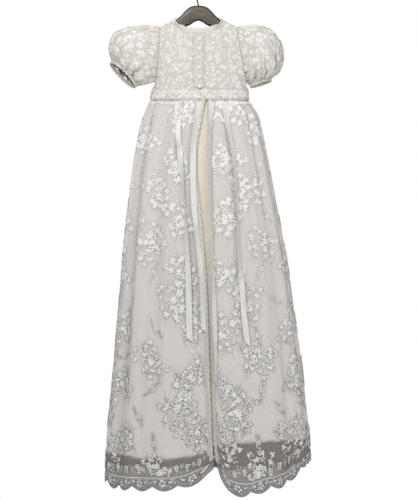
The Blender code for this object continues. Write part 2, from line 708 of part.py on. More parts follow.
# --- ribbons --------------------------------------------------------------------------------------
def add_ribbons(finish):
    half = RIBBON_WIDTH / 2.0
    for name, table in RIBBONS.items():
        rows = []
        heights = spread(table[0].z, table[-1].z, RIBBON_ROWS)
        for z in heights:
            x, out, turn = (read(table, column, z) for column in ("x", "out", "turn"))
            dx, dy = math.cos(math.radians(turn)) * half, math.sin(math.radians(turn)) * half
            slant = RIBBON_SLANT if z == heights[-1] else 0.0
            row = []
            for way in (-1.0, 1.0):
                _, y, _ = skirt_point(skirt_angle(x + way * dx, z), z)
                row.append((x + way * dx, y - out + way * dy, z - way * slant))
            rows.append(row)
        cloth(name, rows, finish, wall=RIBBON_WALL)


# --- hanger ---------------------------------------------------------------------------------------
def add_bar(finish):
    """The bar is lofted through stadium-shaped sections, from one end to the other."""
    half = list(BAR)
    stations = [Station(-row.x, row.top, row.under) for row in reversed(half)] + half[1:]
    bm = bmesh.new()
    rings = []
    for row in stations:
        middle, tall = (row.top + row.under) / 2.0, (row.top - row.under) / 2.0
        thin = BAR_HALF_THICKNESS * (BAR_END_THIN if abs(row.x) == BAR[-1].x else 1.0)
        straight = max(tall - thin, 0.0)
        round_z = tall - straight
        ring = []
        for s in range(BAR_SIDES):
            turn = 2.0 * math.pi * (s + 0.5) / BAR_SIDES
            lift = math.copysign(straight, math.cos(turn))
            z = middle + lift + round_z * math.cos(turn) / math.cos(math.pi / BAR_SIDES)
            ring.append(bm.verts.new(at_metres(row.x, thin * math.sin(turn), z)))
        rings.append(ring)
    for one, two in zip(rings, rings[1:]):
        for s in range(BAR_SIDES):
            n = (s + 1) % BAR_SIDES
            bm.faces.new((one[s], one[n], two[n], two[s]))
    bm.faces.new(rings[0])
    bm.faces.new(rings[-1])
    bmesh.ops.recalc_face_normals(bm, faces=bm.faces)
    mesh = bpy.data.meshes.new("hanger_bar")
    bm.to_mesh(mesh)
    bm.free()
    mesh.shade_smooth()
    bar = add_object("hanger_bar", mesh, finish)
    hole = add_hole_cutter(finish)
    cut = bar.modifiers.new("hook hole", "BOOLEAN")
    cut.operation = "DIFFERENCE"
    cut.object = hole


def add_hole_cutter(finish):
    mesh = bpy.data.meshes.new("hook_hole_cutter")
    bm = bmesh.new()
    tall = HOLE_DEPTH + 10.0
    radius = HOLE_RADIUS * MM
    bmesh.ops.create_cone(
        bm, cap_ends=True, segments=HOLE_SIDES, radius1=radius, radius2=radius, depth=tall * MM
    )
    bm.to_mesh(mesh)
    bm.free()
    cutter = add_object("hook_hole_cutter", mesh, finish)
    cutter.location = at_metres(0.0, 0.0, BAR[0].top - HOLE_DEPTH + tall / 2.0)
    cutter.hide_render = True
    cutter.display_type = "WIRE"
    return cutter


def add_hook(finish):
    """A question mark of wire. The inside of its top is at the origin."""
    centre_z = HOOK_WIRE / 2.0 - HOOK_RADIUS
    path = []
    for degrees in range(-35, 211, HOOK_STEP):
        turn = math.radians(degrees)
        path.append((HOOK_RADIUS * math.cos(turn), 0.0, centre_z + HOOK_RADIUS * math.sin(turn)))
    path += [(x, 0.0, z) for x, z in HOOK_NECK]
    path.append((0.0, 0.0, BAR[0].top - HOLE_DEPTH + HOOK_BOTTOM_GAP))
    curve = bpy.data.curves.new("hanger_hook", "CURVE")
    curve.dimensions = "3D"
    curve.bevel_depth = HOOK_WIRE / 2.0 * MM
    curve.bevel_resolution = 2
    curve.use_fill_caps = True
    spline = curve.splines.new("POLY")
    spline.points.add(len(path) - 1)
    for point, place in zip(spline.points, path):
        point.co = (*at_metres(*place), 1.0)
    curve.materials.append(finish)
    bpy.context.scene.collection.objects.link(bpy.data.objects.new("hanger_hook", curve))


def main():
    for obj in list(bpy.data.objects):
        bpy.data.objects.remove(obj)
    lace_net = material("ivory embroidered net", 0.72, 0.70, 0.66, 0.75)
    lace_edge = material("ivory scalloped lace", 0.78, 0.76, 0.72, 0.7)
    satin = material("ivory satin lining", 0.66, 0.64, 0.58, 0.42)
    ribbon = material("white satin ribbon", 0.85, 0.85, 0.86, 0.32)
    pearl = material("pearl button", 0.86, 0.84, 0.78, 0.25)
    wood = material("stained wood", 0.16, 0.12, 0.085, 0.45)
    wire = material("dark steel wire", 0.09, 0.08, 0.075, 0.4, 0.9)
    add_bodice(lace_net)
    add_placket(lace_edge)
    add_buttons(pearl)
    add_collar(lace_edge)
    add_waist_band(lace_edge)
    add_overskirt(lace_net, lace_edge)
    add_lining(satin)
    add_sleeves(lace_net, lace_edge)
    add_ribbons(ribbon)
    add_bar(wood)
    add_hook(wire)


main()
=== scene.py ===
"""The looks of a lace christening gown hung on a small wooden hanger.

The gown is cloth on a fixed frame: each panel is a fine grid laid on the garment's own form, then
embroidered with small stitched shapes that are modelled once and sewn on in sprays. Sizes are in
millimetres and `MM` turns them into the scene's metres. The buttoned side faces -Y.
"""

from __future__ import annotations

import logging
import math
from dataclasses import dataclass, field
from enum import Enum
from typing import Callable, Iterable, NamedTuple, Sequence

import bpy
import numpy as np
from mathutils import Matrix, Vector


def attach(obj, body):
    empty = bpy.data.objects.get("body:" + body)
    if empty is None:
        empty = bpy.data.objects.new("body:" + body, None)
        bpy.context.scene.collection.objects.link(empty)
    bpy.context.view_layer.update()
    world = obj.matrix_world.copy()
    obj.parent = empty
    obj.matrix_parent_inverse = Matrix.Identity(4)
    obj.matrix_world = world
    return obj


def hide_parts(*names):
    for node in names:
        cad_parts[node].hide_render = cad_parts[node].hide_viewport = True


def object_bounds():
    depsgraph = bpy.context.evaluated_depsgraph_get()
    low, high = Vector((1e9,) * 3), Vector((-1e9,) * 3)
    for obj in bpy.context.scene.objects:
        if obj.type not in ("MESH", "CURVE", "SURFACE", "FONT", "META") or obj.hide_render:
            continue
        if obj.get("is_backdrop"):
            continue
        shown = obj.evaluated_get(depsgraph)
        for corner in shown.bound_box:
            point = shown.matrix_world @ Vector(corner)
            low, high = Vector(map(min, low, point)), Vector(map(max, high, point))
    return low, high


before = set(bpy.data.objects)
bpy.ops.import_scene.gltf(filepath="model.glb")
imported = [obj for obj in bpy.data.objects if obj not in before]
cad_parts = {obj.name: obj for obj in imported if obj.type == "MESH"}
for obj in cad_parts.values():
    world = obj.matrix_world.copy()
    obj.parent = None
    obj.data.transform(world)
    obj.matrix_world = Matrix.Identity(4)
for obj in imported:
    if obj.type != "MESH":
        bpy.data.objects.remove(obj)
CAD_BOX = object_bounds()

LOG = logging.getLogger("gown")
MM = 0.001
Grid = np.ndarray
Object, Node = bpy.types.Object, bpy.types.Node
Tree, Socket = bpy.types.NodeTree, bpy.types.NodeSocket
AngleOf = Callable[[Grid, Grid], Grid]  # the angle of a share of the way across a panel, at a height
HeightOf = Callable[[Grid], Grid]  # a height at each place across

# --- the gown's driving sizes, mm -----------------------------------------------------------------
ROUNDNESS = 2.4  # exponent of the oval sections
TURNED_SEAM = 0.55
SEAM = 0.35
LAP = 1.7
WAIST_Z = -272.0
BAND_TOP_Z, BAND_BOTTOM_Z = -244.0, -271.0
UNDERARM_Z = -228.0
NECK_X, NECK_ROUND = 52.0, 2.6
NECK_FRONT_Z, NECK_BACK_Z = -122.0, -131.0
SHOULDER_NOSE, SHOULDER_HALF, SHOULDER_EASE = 7.0, 8.3, 42.0
BAR_CLEAR = 2.2
KNEE_Z, HEM_Z = -620.0, -1130.0
BACK_HEM_Z = -1088.0
BACK_HEM_RISE, BACK_HEM_RISES_AT, BACK_HEM_RISES_OVER = 22.0, 190.0, 50.0  # towards the right seam
BORDER_HEIGHT, BORDER_GAP = 30.0, 0.9
FRONT, BACK = -1, 1
# How light a stitch's foot is painted at the hem, and at the waist: painted shade round each stitch, deeper
# towards the hem.
FOOT_SHADE = (0.0, 0.72)


class Table:
    """Rows of sizes whose columns are read as smooth curves over the first column."""

    def __init__(self, columns: str, *rows: tuple[float, ...]) -> None:
        """Sorts the rows by their first column and works out each column's slopes.

        Args:
            columns: The names of the columns, the key first.
            rows: One tuple of sizes for each section, level or station.
        """
        grid = np.array(sorted(rows), float)
        self.keys = grid[:, 0]
        self.values = dict(zip(columns.split(), grid.T))
        before = np.maximum(np.arange(len(grid)) - 1, 0)
        after = np.minimum(np.arange(len(grid)) + 1, len(grid) - 1)
        self.slopes = {
            name: (value[after] - value[before]) / (self.keys[after] - self.keys[before])
            for name, value in self.values.items()
        }

    def read(self, column: str, key: Grid | float) -> Grid:
        """Reads a column at one or many keys.

        Args:
            column: The column's name.
            key: Where to read it, kept within the table.

        Returns:
            The column's value at each key.
        """
        key = np.clip(key, self.keys[0], self.keys[-1])
        i = np.clip(np.searchsorted(self.keys, key, side="right") - 1, 0, len(self.keys) - 2)
        span = self.keys[i + 1] - self.keys[i]
        t = (key - self.keys[i]) / span
        value, slope = self.values[column], self.slopes[column]
        bend = (1 + 2 * t) * (1 - t) ** 2 * value[i] + t * t * (3 - 2 * t) * value[i + 1]
        return bend + span * (t * (1 - t) ** 2 * slope[i] - t * t * (1 - t) * slope[i + 1])


BODICE = Table(
    "z centre half_width half_depth reach",
    (-60.0, 0.0, 85.0, 22.0, 62.0),
    (-108.0, 0.0, 85.5, 26.0, 62.0),
    (-135.0, 1.0, 87.0, 29.5, 60.0),
    (-165.0, 3.0, 90.5, 32.5, 61.0),
    (-195.0, 5.0, 95.0, 34.0, 68.0),
    (-214.0, 6.0, 97.5, 35.0, 78.0),
    (UNDERARM_Z, 6.0, 98.5, 35.0, 90.0),
    (-246.0, 3.5, 103.5, 35.5, 90.0),
    (WAIST_Z, 2.6, 107.0, 36.0, 90.0),
)
SKIRT = Table(
    "z centre half_width half_depth",
    (WAIST_Z, 2.6, 107.2, 37.0),
    (-287.0, 4.5, 116.5, 43.0),
    (-305.0, 6.0, 125.5, 48.0),
    (-340.0, 6.0, 134.0, 53.0),
    (-402.0, 6.5, 147.0, 58.0),
    (-490.0, 9.5, 160.5, 63.0),
    (-578.0, 12.5, 173.8, 68.0),
    (-666.0, 16.0, 184.8, 72.0),
    (-754.0, 18.0, 194.7, 75.0),
    (-842.0, 20.5, 204.6, 78.0),
    (-930.0, 21.3, 213.4, 80.0),
    (-1018.0, 21.3, 222.2, 82.0),
    (-1150.0, 21.5, 225.5, 84.0),
)
# Angle round the skirt, width, and height at waist, knee and hem. A trough's height is negative.
FOLDS = (
    (-76.0, 8.0, 2.0, 4.0, 5.0), (-62.0, 9.0, -2.5, -3.5, -6.0), (-48.0, 8.0, 3.0, 4.0, 3.0),
    (-35.0, 8.0, -2.5, -4.0, -3.0), (-23.0, 7.5, 2.5, 3.5, 5.0), (-12.0, 7.0, -1.5, -3.0, -2.0),
    (12.0, 7.0, 1.5, 2.5, 4.0), (25.0, 8.0, -2.5, -4.0, -5.0), (38.0, 8.0, 3.0, 4.5, 4.0),
    (51.0, 8.5, -2.5, -4.0, -4.0), (65.0, 9.0, 2.5, 4.5, 6.0), (78.0, 8.0, -2.0, -2.5, -4.0),
    (104.0, 10.0, 2.0, 4.0, 6.0), (121.0, 10.0, -2.5, -4.5, -6.0), (139.0, 11.0, 3.0, 4.5, 7.0),
    (158.0, 11.0, -2.0, -4.0, -5.0), (178.0, 11.0, 2.5, 4.0, 6.0), (-162.0, 11.0, -2.5, -3.5, -6.0),
    (-143.0, 11.0, 3.0, 4.5, 7.0), (-124.0, 10.0, -2.5, -4.5, -5.0), (-106.0, 10.0, 2.0, 3.5, 5.0),
)
OPENING = Table(
    "z left right",
    (WAIST_Z, 17.0, 19.6), (-330.0, 6.0, 20.0), (-385.0, -2.0, 20.0), (-440.0, -1.0, 21.5),
    (-550.0, 10.0, 27.0), (-680.0, 19.5, 24.0), (-800.0, 24.0, 27.5), (-1000.0, 30.0, 33.5),
    (-1060.0, 34.0, 38.0), (-1140.0, 36.0, 62.0),
)
HEM_LEFT = Table(
    "x z",
    (-206.0, -1110.0), (-190.0, -1122.0), (-150.0, -1127.0), (-90.0, -1128.0),
    (-40.0, -1125.0), (0.0, -1110.0), (22.0, -1095.0), (40.0, -1084.0),
)
HEM_RIGHT = Table(
    "x z",
    (40.0, -1090.0), (54.0, -1112.0), (66.0, -1131.0), (105.0, -1141.0), (147.0, -1130.0),
    (190.0, -1117.0), (221.0, -1091.0), (236.0, -1074.0), (250.0, -1066.0),
)
HEM_LINING = Table(
    "x z",
    (-220.0, -1038.0), (-190.0, -1044.0), (-73.0, -1056.0), (0.0, -1044.0), (26.0, -1036.0),
    (42.0, -1024.0), (120.0, -1018.0), (225.0, -1013.0), (250.0, -1012.0),
)
LINING_BACK_RISE = 4.0
BAR = Table(
    "x top under",
    (0.0, -62.0, -95.5), (9.0, -62.8, -98.5), (17.0, -65.0, -104.5), (24.0, -69.5, -107.5),
    (31.0, -76.5, -110.0), (38.0, -84.5, -113.0), (46.0, -90.8, -116.5), (56.0, -97.0, -120.5),
    (71.0, -105.2, -126.0), (84.0, -112.0, -130.0), (105.0, -117.4, -134.0), (128.0, -121.3, -137.0),
    (143.0, -124.5, -138.5), (148.5, -127.5, -136.5),
)
SLEEVE_LEFT = Table(
    "row top_x top_z under_x under_z half_depth lean",
    (1, -101.0, -109.0, -98.5, -228.3, 27.0, 0.0),
    (2, -118.0, -108.5, -104.0, -231.2, 33.0, 0.0),
    (3, -140.0, -109.0, -110.5, -233.3, 38.0, 0.0),
    (4, -162.0, -112.5, -117.0, -235.0, 40.5, 1.0),
    (5, -181.0, -121.5, -123.0, -235.8, 40.0, 2.0),
    (6, -191.0, -140.0, -128.0, -236.2, 37.0, 3.5),
    (7, -192.5, -163.0, -131.5, -236.4, 31.0, 5.5),
    (8, -187.5, -183.0, -134.0, -236.5, 24.5, 8.0),
)
SLEEVE_RIGHT = Table(
    "row top_x top_z under_x under_z half_depth lean",
    (1, 103.0, -108.5, 107.5, -228.6, 27.0, 0.0),
    (2, 121.0, -107.0, 109.0, -229.2, 33.0, 0.0),
    (3, 142.0, -108.5, 110.0, -229.9, 38.0, 0.0),
    (4, 161.5, -117.0, 110.8, -230.6, 40.5, 0.0),
    (5, 175.5, -133.0, 111.4, -231.3, 40.5, 0.0),
    (6, 184.5, -155.0, 111.9, -232.0, 38.0, 0.0),
    (7, 185.0, -184.0, 112.3, -232.7, 34.0, 1.0),
    (8, 177.0, -206.0, 112.6, -233.4, 29.0, 2.0),
    (9, 158.0, -219.5, 112.8, -234.2, 24.0, 3.0),
)


# --- small maths ----------------------------------------------------------------------------------
def mix(a: Grid | float, b: Grid | float, share: Grid | float) -> Grid:
    """The value a share of the way from a to b."""
    return a + (b - a) * share


def ease(t: Grid | float) -> Grid:
    """0 to 1 with a level start and end."""
    t = np.clip(t, 0.0, 1.0)
    return t * t * (3.0 - 2.0 * t)


def hump(away: Grid, width: Grid | float) -> Grid:
    """A soft ridge, 1 high in its middle."""
    return np.exp(-((away / width) ** 2))


def oval(angle: Grid, half_width: Grid, half_depth: Grid) -> tuple[Grid, Grid]:
    """Points of a squarish oval.

    Args:
        angle: Degrees from the front, -Y, towards +X.
        half_width: Half of the oval's size along X.
        half_depth: Half of its size along Y.

    Returns:
        The points' x and y.
    """
    s, c = np.sin(np.radians(angle)), np.cos(np.radians(angle))
    power = 2.0 / ROUNDNESS
    return np.sign(s) * np.abs(s) ** power * half_width, -np.sign(c) * np.abs(c) ** power * half_depth


def outward(angle: Grid, half_width: Grid, half_depth: Grid) -> tuple[Grid, Grid]:
    """The oval's unit normal in plan, as x and y."""
    x0, y0 = oval(angle - 0.5, half_width, half_depth)
    x1, y1 = oval(angle + 0.5, half_width, half_depth)
    length = np.hypot(x1 - x0, y1 - y0)
    return (y1 - y0) / length, -(x1 - x0) / length


def stack(x: Grid, y: Grid, z: Grid) -> Grid:
    """Points from three grids of coordinates."""
    return np.stack(np.broadcast_arrays(x, y, z), axis=-1)


# --- the garment's form ---------------------------------------------------------------------------
def shoulder_line(x: Grid) -> Grid:
    """Height of the shoulder cloth over the hanger's bar."""
    return BAR.read("top", np.abs(x)) + BAR_CLEAR


def neckline(x: Grid, lowest: float) -> Grid:
    """Height of a neck edge whose lowest point is given."""
    rise = shoulder_line(NECK_X) - lowest
    across = np.minimum(np.abs(x), NECK_X) / NECK_X
    return lowest + rise * (1.0 - np.sqrt(1.0 - across**NECK_ROUND))


def bodice_point(share: Grid, z: Grid, side: int, out: Grid | float = 0.0) -> Grid:
    """Points of the bodice.

    Args:
        share: 0 in the middle to 1 or -1 at the armhole or side seam.
        z: Height.
        side: FRONT or BACK.
        out: Distance out from the cloth.

    Returns:
        The points, in millimetres.
    """
    share, z = np.broadcast_arrays(np.asarray(share, float), np.asarray(z, float))
    reach, half_depth = BODICE.read("reach", z), BODICE.read("half_depth", z)
    half_width = BODICE.read("half_width", z) / oval(reach, 1.0, 1.0)[0]
    angle = share * reach
    x, y = oval(angle, half_width, half_depth)
    nx, ny = outward(angle, half_width, half_depth)
    x = x + BODICE.read("centre", z)
    drop = np.maximum(shoulder_line(x) - z, 0.0)
    turn = 1.0 - np.minimum(drop, SHOULDER_NOSE) / SHOULDER_NOSE
    nose = np.sqrt(np.maximum(0.0, 1.0 - turn**2)) * SHOULDER_HALF
    depth = mix(nose, np.abs(y), ease(drop / SHOULDER_EASE)) + TURNED_SEAM
    return stack(x + nx * out, side * (depth - ny * out), z)


def bodice_top(share: Grid, lowest: float, side: int) -> Grid:
    """Height of the bodice's upper edge at each column."""
    z = np.full(np.shape(share), -110.0)
    for _ in range(6):
        x = bodice_point(share, z, side)[..., 0]
        z = np.where(np.abs(x) < NECK_X, neckline(x, lowest), shoulder_line(x))
    return z


def share_at(x: Grid, z: Grid) -> Grid:
    """The share of the bodice's front at a place across it."""
    x, z = np.broadcast_arrays(np.asarray(x, float), np.asarray(z, float))
    low, high = np.full(x.shape, -1.0), np.full(x.shape, 1.0)
    for _ in range(24):
        middle = (low + high) / 2.0
        left = bodice_point(middle, z, FRONT)[..., 0] < x
        low, high = np.where(left, middle, low), np.where(left, high, middle)
    return low


def neck_share() -> float:
    """The column that meets the neck's corner on the shoulder seam."""
    return float(share_at(NECK_X, shoulder_line(NECK_X)))


def fold_height(angle: Grid, z: Grid) -> Grid:
    """How far the skirt's large folds stand out from its plain oval."""
    above = (z - KNEE_Z) / (WAIST_Z - KNEE_Z)
    below = (KNEE_Z - z) / (KNEE_Z - HEM_Z)
    total = np.zeros(np.broadcast(angle, z).shape)
    for at, width, waist, knee, hem in FOLDS:
        away = (angle - at + 180.0) % 360.0 - 180.0
        height = np.where(z > KNEE_Z, mix(knee, waist, above), mix(knee, hem, below))
        total = total + height * hump(away, width)
    return total * ease((WAIST_Z + 4.0 - z) / 40.0)


def skirt_point(angle: Grid, z: Grid, out: Grid | float = 0.0, fullness: float = 1.0) -> Grid:
    """Points of the skirt at an angle round it, moved out from its cloth by `out`."""
    half_width, half_depth = SKIRT.read("half_width", z), SKIRT.read("half_depth", z)
    x, y = oval(angle, half_width, half_depth)
    nx, ny = outward(angle, half_width, half_depth)
    away = out + fullness * fold_height(angle, z)
    return stack(x + nx * away + SKIRT.read("centre", z), y + ny * away, z)


def skirt_angle(x: Grid, z: Grid) -> Grid:
    """The angle of the front of the skirt's oval at a place across it."""
    share = np.clip((x - SKIRT.read("centre", z)) / SKIRT.read("half_width", z), -1.0, 1.0)
    return np.degrees(np.arcsin(np.sign(share) * np.abs(share) ** (ROUNDNESS / 2.0)))


def side_gap(z: Grid) -> Grid:
    """Half of a side seam's gap, as an angle of the oval."""
    return np.degrees((TURNED_SEAM / SKIRT.read("half_depth", z)) ** (ROUNDNESS / 2.0))


def lining_point(angle: Grid, z: Grid) -> Grid:
    """The lining follows the skirt inside it, with softer folds."""
    return skirt_point(angle, z, -(2.7 + 3.4 * ease((WAIST_Z - z) / 300.0)), 0.5)


# --- cloth ----------------------------------------------------------------------------------------
@dataclass
class Cloth:
    """A piece of cloth as a grid of points on the garment's form, in millimetres."""

    name: str
    points: Grid  # rows down, columns across, 3
    closed: bool = False

    def steps(self) -> tuple[Grid, Grid]:
        """The grid's directions across and down at each point."""
        if self.closed:
            across = np.roll(self.points, -1, axis=1) - np.roll(self.points, 1, axis=1)
        else:
            across = np.gradient(self.points, axis=1)
        return across, np.gradient(self.points, axis=0)

    def mirrored(self) -> bool:
        """True if the columns run to the left for someone who looks at the piece from outside."""
        across, down = self.steps()
        turned = np.cross(across, down)
        middle = self.points.mean(axis=1, keepdims=True) if self.closed else np.zeros(3)
        side = self.points - middle
        if self.closed:
            return float((turned * side).sum()) > 0.0
        return float((turned[..., 1] * side[..., 1]).sum()) > 0.0

    def normals(self) -> Grid:
        """Unit normals that point out of the garment."""
        across, down = self.steps()
        turned = np.cross(across, down)
        turned /= np.maximum(np.linalg.norm(turned, axis=-1, keepdims=True), 1e-9)
        return turned if self.mirrored() else -turned

    def raise_by(self, relief: Grid) -> None:
        """Moves the points out along their normals by a height for each."""
        self.points = self.points + self.normals() * relief[..., None]

    def widths(self) -> Grid:
        """The length of each row, in millimetres."""
        loop = np.concatenate([self.points, self.points[:, :1]], axis=1) if self.closed else self.points
        return np.linalg.norm(np.diff(loop, axis=1), axis=-1).sum(axis=1)

    def length(self) -> float:
        """The mean length of a column, in millimetres."""
        return float(np.linalg.norm(np.diff(self.points, axis=0), axis=-1).sum(axis=0).mean())

    def area(self) -> float:
        """The piece's area, in square millimetres."""
        grid = np.concatenate([self.points, self.points[:, :1]], axis=1) if self.closed else self.points
        one, two = grid[1:, 1:] - grid[:-1, :-1], grid[1:, :-1] - grid[:-1, 1:]
        return float(np.linalg.norm(np.cross(one, two), axis=-1).sum() / 2.0)

    def evened(self) -> "Cloth":
        """The same cloth with its points at even steps along each column, then along each row."""
        grid = self.points
        for axis in (0, 1):
            lines = np.moveaxis(grid, axis, 0)
            steps = np.linalg.norm(np.diff(lines, axis=0), axis=-1)
            reached = np.concatenate([np.zeros((1, lines.shape[1])), np.cumsum(steps, axis=0)])
            even = np.linspace(0.0, 1.0, len(lines))
            made = np.empty_like(lines)
            for k in range(lines.shape[1]):
                for i in range(3):
                    made[:, k, i] = np.interp(even * reached[-1, k], reached[:, k], lines[:, k, i])
            grid = np.moveaxis(made, 0, axis)
        return Cloth(self.name, grid)

    def at(self, across: Grid, down: Grid, out: Grid) -> Grid:
        """Points on the cloth.

        Args:
            across: Share of the way across, 0 to 1.
            down: Share of the way down, 0 to 1.
            out: Height above the cloth, mm.

        Returns:
            The points, in millimetres.
        """
        rows, columns = self.points.shape[:2]
        r = np.clip(down, 0.0, 1.0) * (rows - 1)
        c = (across % 1.0) * columns if self.closed else np.clip(across, 0.0, 1.0) * (columns - 1)
        r0 = np.clip(r.astype(int), 0, rows - 2)
        c0 = c.astype(int) % columns if self.closed else np.clip(c.astype(int), 0, columns - 2)
        c1 = (c0 + 1) % columns
        fr, fc = (r - r0)[..., None], (c - np.floor(c))[..., None] if self.closed else (c - c0)[..., None]
        made = []
        for grid in (self.points, self.normals()):
            upper = mix(grid[r0, c0], grid[r0, c1], fc)
            lower = mix(grid[r0 + 1, c0], grid[r0 + 1, c1], fc)
            made.append(mix(upper, lower, fr))
        return made[0] + made[1] * out[..., None]


def new_mesh(name: str, points: Grid, faces: Grid | list, smooth: bool = True) -> Object:
    """An object at the origin with its place in its mesh.

    Args:
        name: The object's name.
        points: Vertices, in millimetres.
        faces: Rows of vertex numbers.
        smooth: Whether its faces are shaded smooth.

    Returns:
        The linked object.
    """
    mesh = bpy.data.meshes.new(name)
    mesh.from_pydata((points * MM).tolist(), [], faces.tolist() if isinstance(faces, np.ndarray) else faces)
    mesh.polygons.foreach_set("use_smooth", [smooth] * len(mesh.polygons))
    made = bpy.data.objects.new(name, mesh)
    bpy.context.scene.collection.objects.link(made)
    return made


def add_modifier(obj: Object, kind: str, **settings: object) -> None:
    """Adds a modifier and applies it."""
    bpy.ops.object.select_all(action="DESELECT")
    obj.select_set(True)
    bpy.context.view_layer.objects.active = obj
    made = obj.modifiers.new(kind.lower(), kind)
    for name, value in settings.items():
        setattr(made, name, value)
    bpy.ops.object.modifier_apply(modifier=made.name)


def weave(cloth: Cloth, wall: float, shade: Grid | None = None) -> Object:
    """Makes a cloth piece's thin shell, with a UV map in metres of cloth.

    Args:
        cloth: The piece's grid.
        wall: Its thickness, mm.
        shade: An attribute for each grid point, 0 to 1, that its material may read as `sheer`.

    Returns:
        The shell.
    """
    rows, columns = cloth.points.shape[:2]
    r, c = np.mgrid[0 : rows - 1, 0 : columns if cloth.closed else columns - 1]
    n = (c + 1) % columns
    corners = [r * columns + c, (r + 1) * columns + c, (r + 1) * columns + n, r * columns + n]
    if cloth.mirrored():
        corners.reverse()
    faces = np.stack([corner.ravel() for corner in corners], axis=1)
    made = new_mesh(cloth.name, cloth.points.reshape(-1, 3), faces)
    if shade is not None:
        layer = made.data.attributes.new("sheer", "FLOAT", "POINT")
        layer.data.foreach_set("value", shade.astype(np.float32).ravel())
    width, length = float(cloth.widths().max()), cloth.length()
    u = np.stack([c, c, c + 1, c + 1], axis=-1) / (columns if cloth.closed else columns - 1) * width * MM
    v = -np.stack([r, r + 1, r + 1, r], axis=-1) / (rows - 1) * length * MM
    if cloth.mirrored():
        u, v = u[..., ::-1], v[..., ::-1]
    layer = made.data.uv_layers.new(name="cloth")
    layer.data.foreach_set("uv", np.stack([u, v], axis=-1).astype(np.float32).ravel())
    add_modifier(made, "SOLIDIFY", thickness=wall * MM, offset=0.0, use_even_offset=False)
    return made


# --- finishes -------------------------------------------------------------------------------------
PER_MM = 1000.0  # the scale of a texture that repeats each millimetre
WAVE = 6.3  # divides a wave texture's scale. Its bands are then twice the given size apart, or more
MIXED = 2  # a Mix node's colour output


def colour(code: str) -> tuple[float, float, float, float]:
    """Turns an sRGB hex colour into linear red, green, blue and alpha."""
    parts = [int(code[i : i + 2], 16) / 255.0 for i in (1, 3, 5)]
    return (*(p / 12.92 if p <= 0.04045 else ((p + 0.055) / 1.055) ** 2.4 for p in parts), 1.0)


def wire(node: Node, inputs: dict) -> Node:
    """Sets a node's inputs, each to a value or to another node's output socket."""
    for name, value in inputs.items():
        if isinstance(value, Socket):
            node.id_data.links.new(value, node.inputs[name])
        else:
            node.inputs[name].default_value = value
    return node


def add(tree: Tree, kind: str, inputs: dict | None = None, **settings: object) -> Node:
    """Adds a shader node.

    Args:
        tree: The node tree.
        kind: The node's type, without the prefix that all shader nodes share.
        inputs: A value or a socket for each of its inputs that isn't left as it is.
        settings: The node's own properties.

    Returns:
        The node.
    """
    made = tree.nodes.new(f"ShaderNode{kind}")
    for name, value in settings.items():
        setattr(made, name, value)
    return wire(made, inputs or {})


@dataclass(frozen=True)
class Finish:
    """A real material: its name, colours and how its surface takes the light."""

    name: str
    light: str
    dark: str
    roughness: float
    metallic: float = 0.0
    sheen: float = 0.0
    coat: float = 0.0

    def start(self) -> tuple[Tree, Node, bpy.types.Material]:
        """A new material with its even values set on its shader's own sockets."""
        made = bpy.data.materials.new(self.name)
        made.use_nodes = True
        even = {
            "Base Color": colour(self.light), "Roughness": self.roughness, "Metallic": self.metallic,
            "Sheen Weight": self.sheen, "Sheen Roughness": 0.5, "Coat Weight": self.coat,
        }
        return made.node_tree, wire(made.node_tree.nodes["Principled BSDF"], even), made

    def shaded(self, tree: Tree, factor: Socket) -> Socket:
        """A mix of the finish's dark and light colours."""
        ends = {"Factor": factor, "A": colour(self.dark), "B": colour(self.light)}
        return add(tree, "Mix", ends, data_type="RGBA").outputs[MIXED]


@dataclass(frozen=True)
class Tulle(Finish):
    """Soft polyester net with round holes. It is pale over satin, and where nothing backs it its colour is a
    painted grey shade, darker and more opaque.
    """

    hole: float = 2.4  # real tulle has 1.5 mm holes, drawn coarser here so that they show
    # Painted shade: the grey colour and opacity that the net is given where nothing backs it.
    bare_shade: str = "#85817E"
    alpha: float = 0.4
    bare_shade_alpha: float = 0.7

    def material(self) -> bpy.types.Material:
        """Alpha follows the net's threads, and colour its `sheer` attribute, which brings in the painted
        grey shade.
        """
        tree, shader, made = self.start()
        uv = add(tree, "UVMap", uv_map="cloth").outputs["UV"]
        sheer = add(tree, "Attribute", attribute_name="sheer").outputs["Fac"]
        holes = add(
            tree, "TexVoronoi", {"Vector": uv, "Scale": PER_MM / self.hole, "Randomness": 0.25},
            feature="DISTANCE_TO_EDGE", voronoi_dimensions="2D",
        ).outputs["Distance"]
        solid = {"Value": holes, "From Min": 0.1, "From Max": 0.3, "To Min": 1.35, "To Max": 0.7}
        thread = add(tree, "MapRange", solid).outputs["Result"]
        cover = {"Value": sheer, "To Min": self.alpha, "To Max": self.bare_shade_alpha}
        base = add(tree, "MapRange", cover).outputs["Result"]
        alpha = add(tree, "Math", {0: thread, 1: base}, operation="MULTIPLY")
        cloud = add(tree, "TexNoise", {"Vector": uv, "Scale": 60.0, "Detail": 6.0, "Roughness": 0.75})
        ends = {"Factor": sheer, "A": self.shaded(tree, cloud.outputs["Fac"]), "B": colour(self.bare_shade)}
        tone = add(tree, "Mix", ends, data_type="RGBA")
        wire(shader, {"Base Color": tone.outputs[MIXED], "Alpha": alpha.outputs["Value"]})
        return made


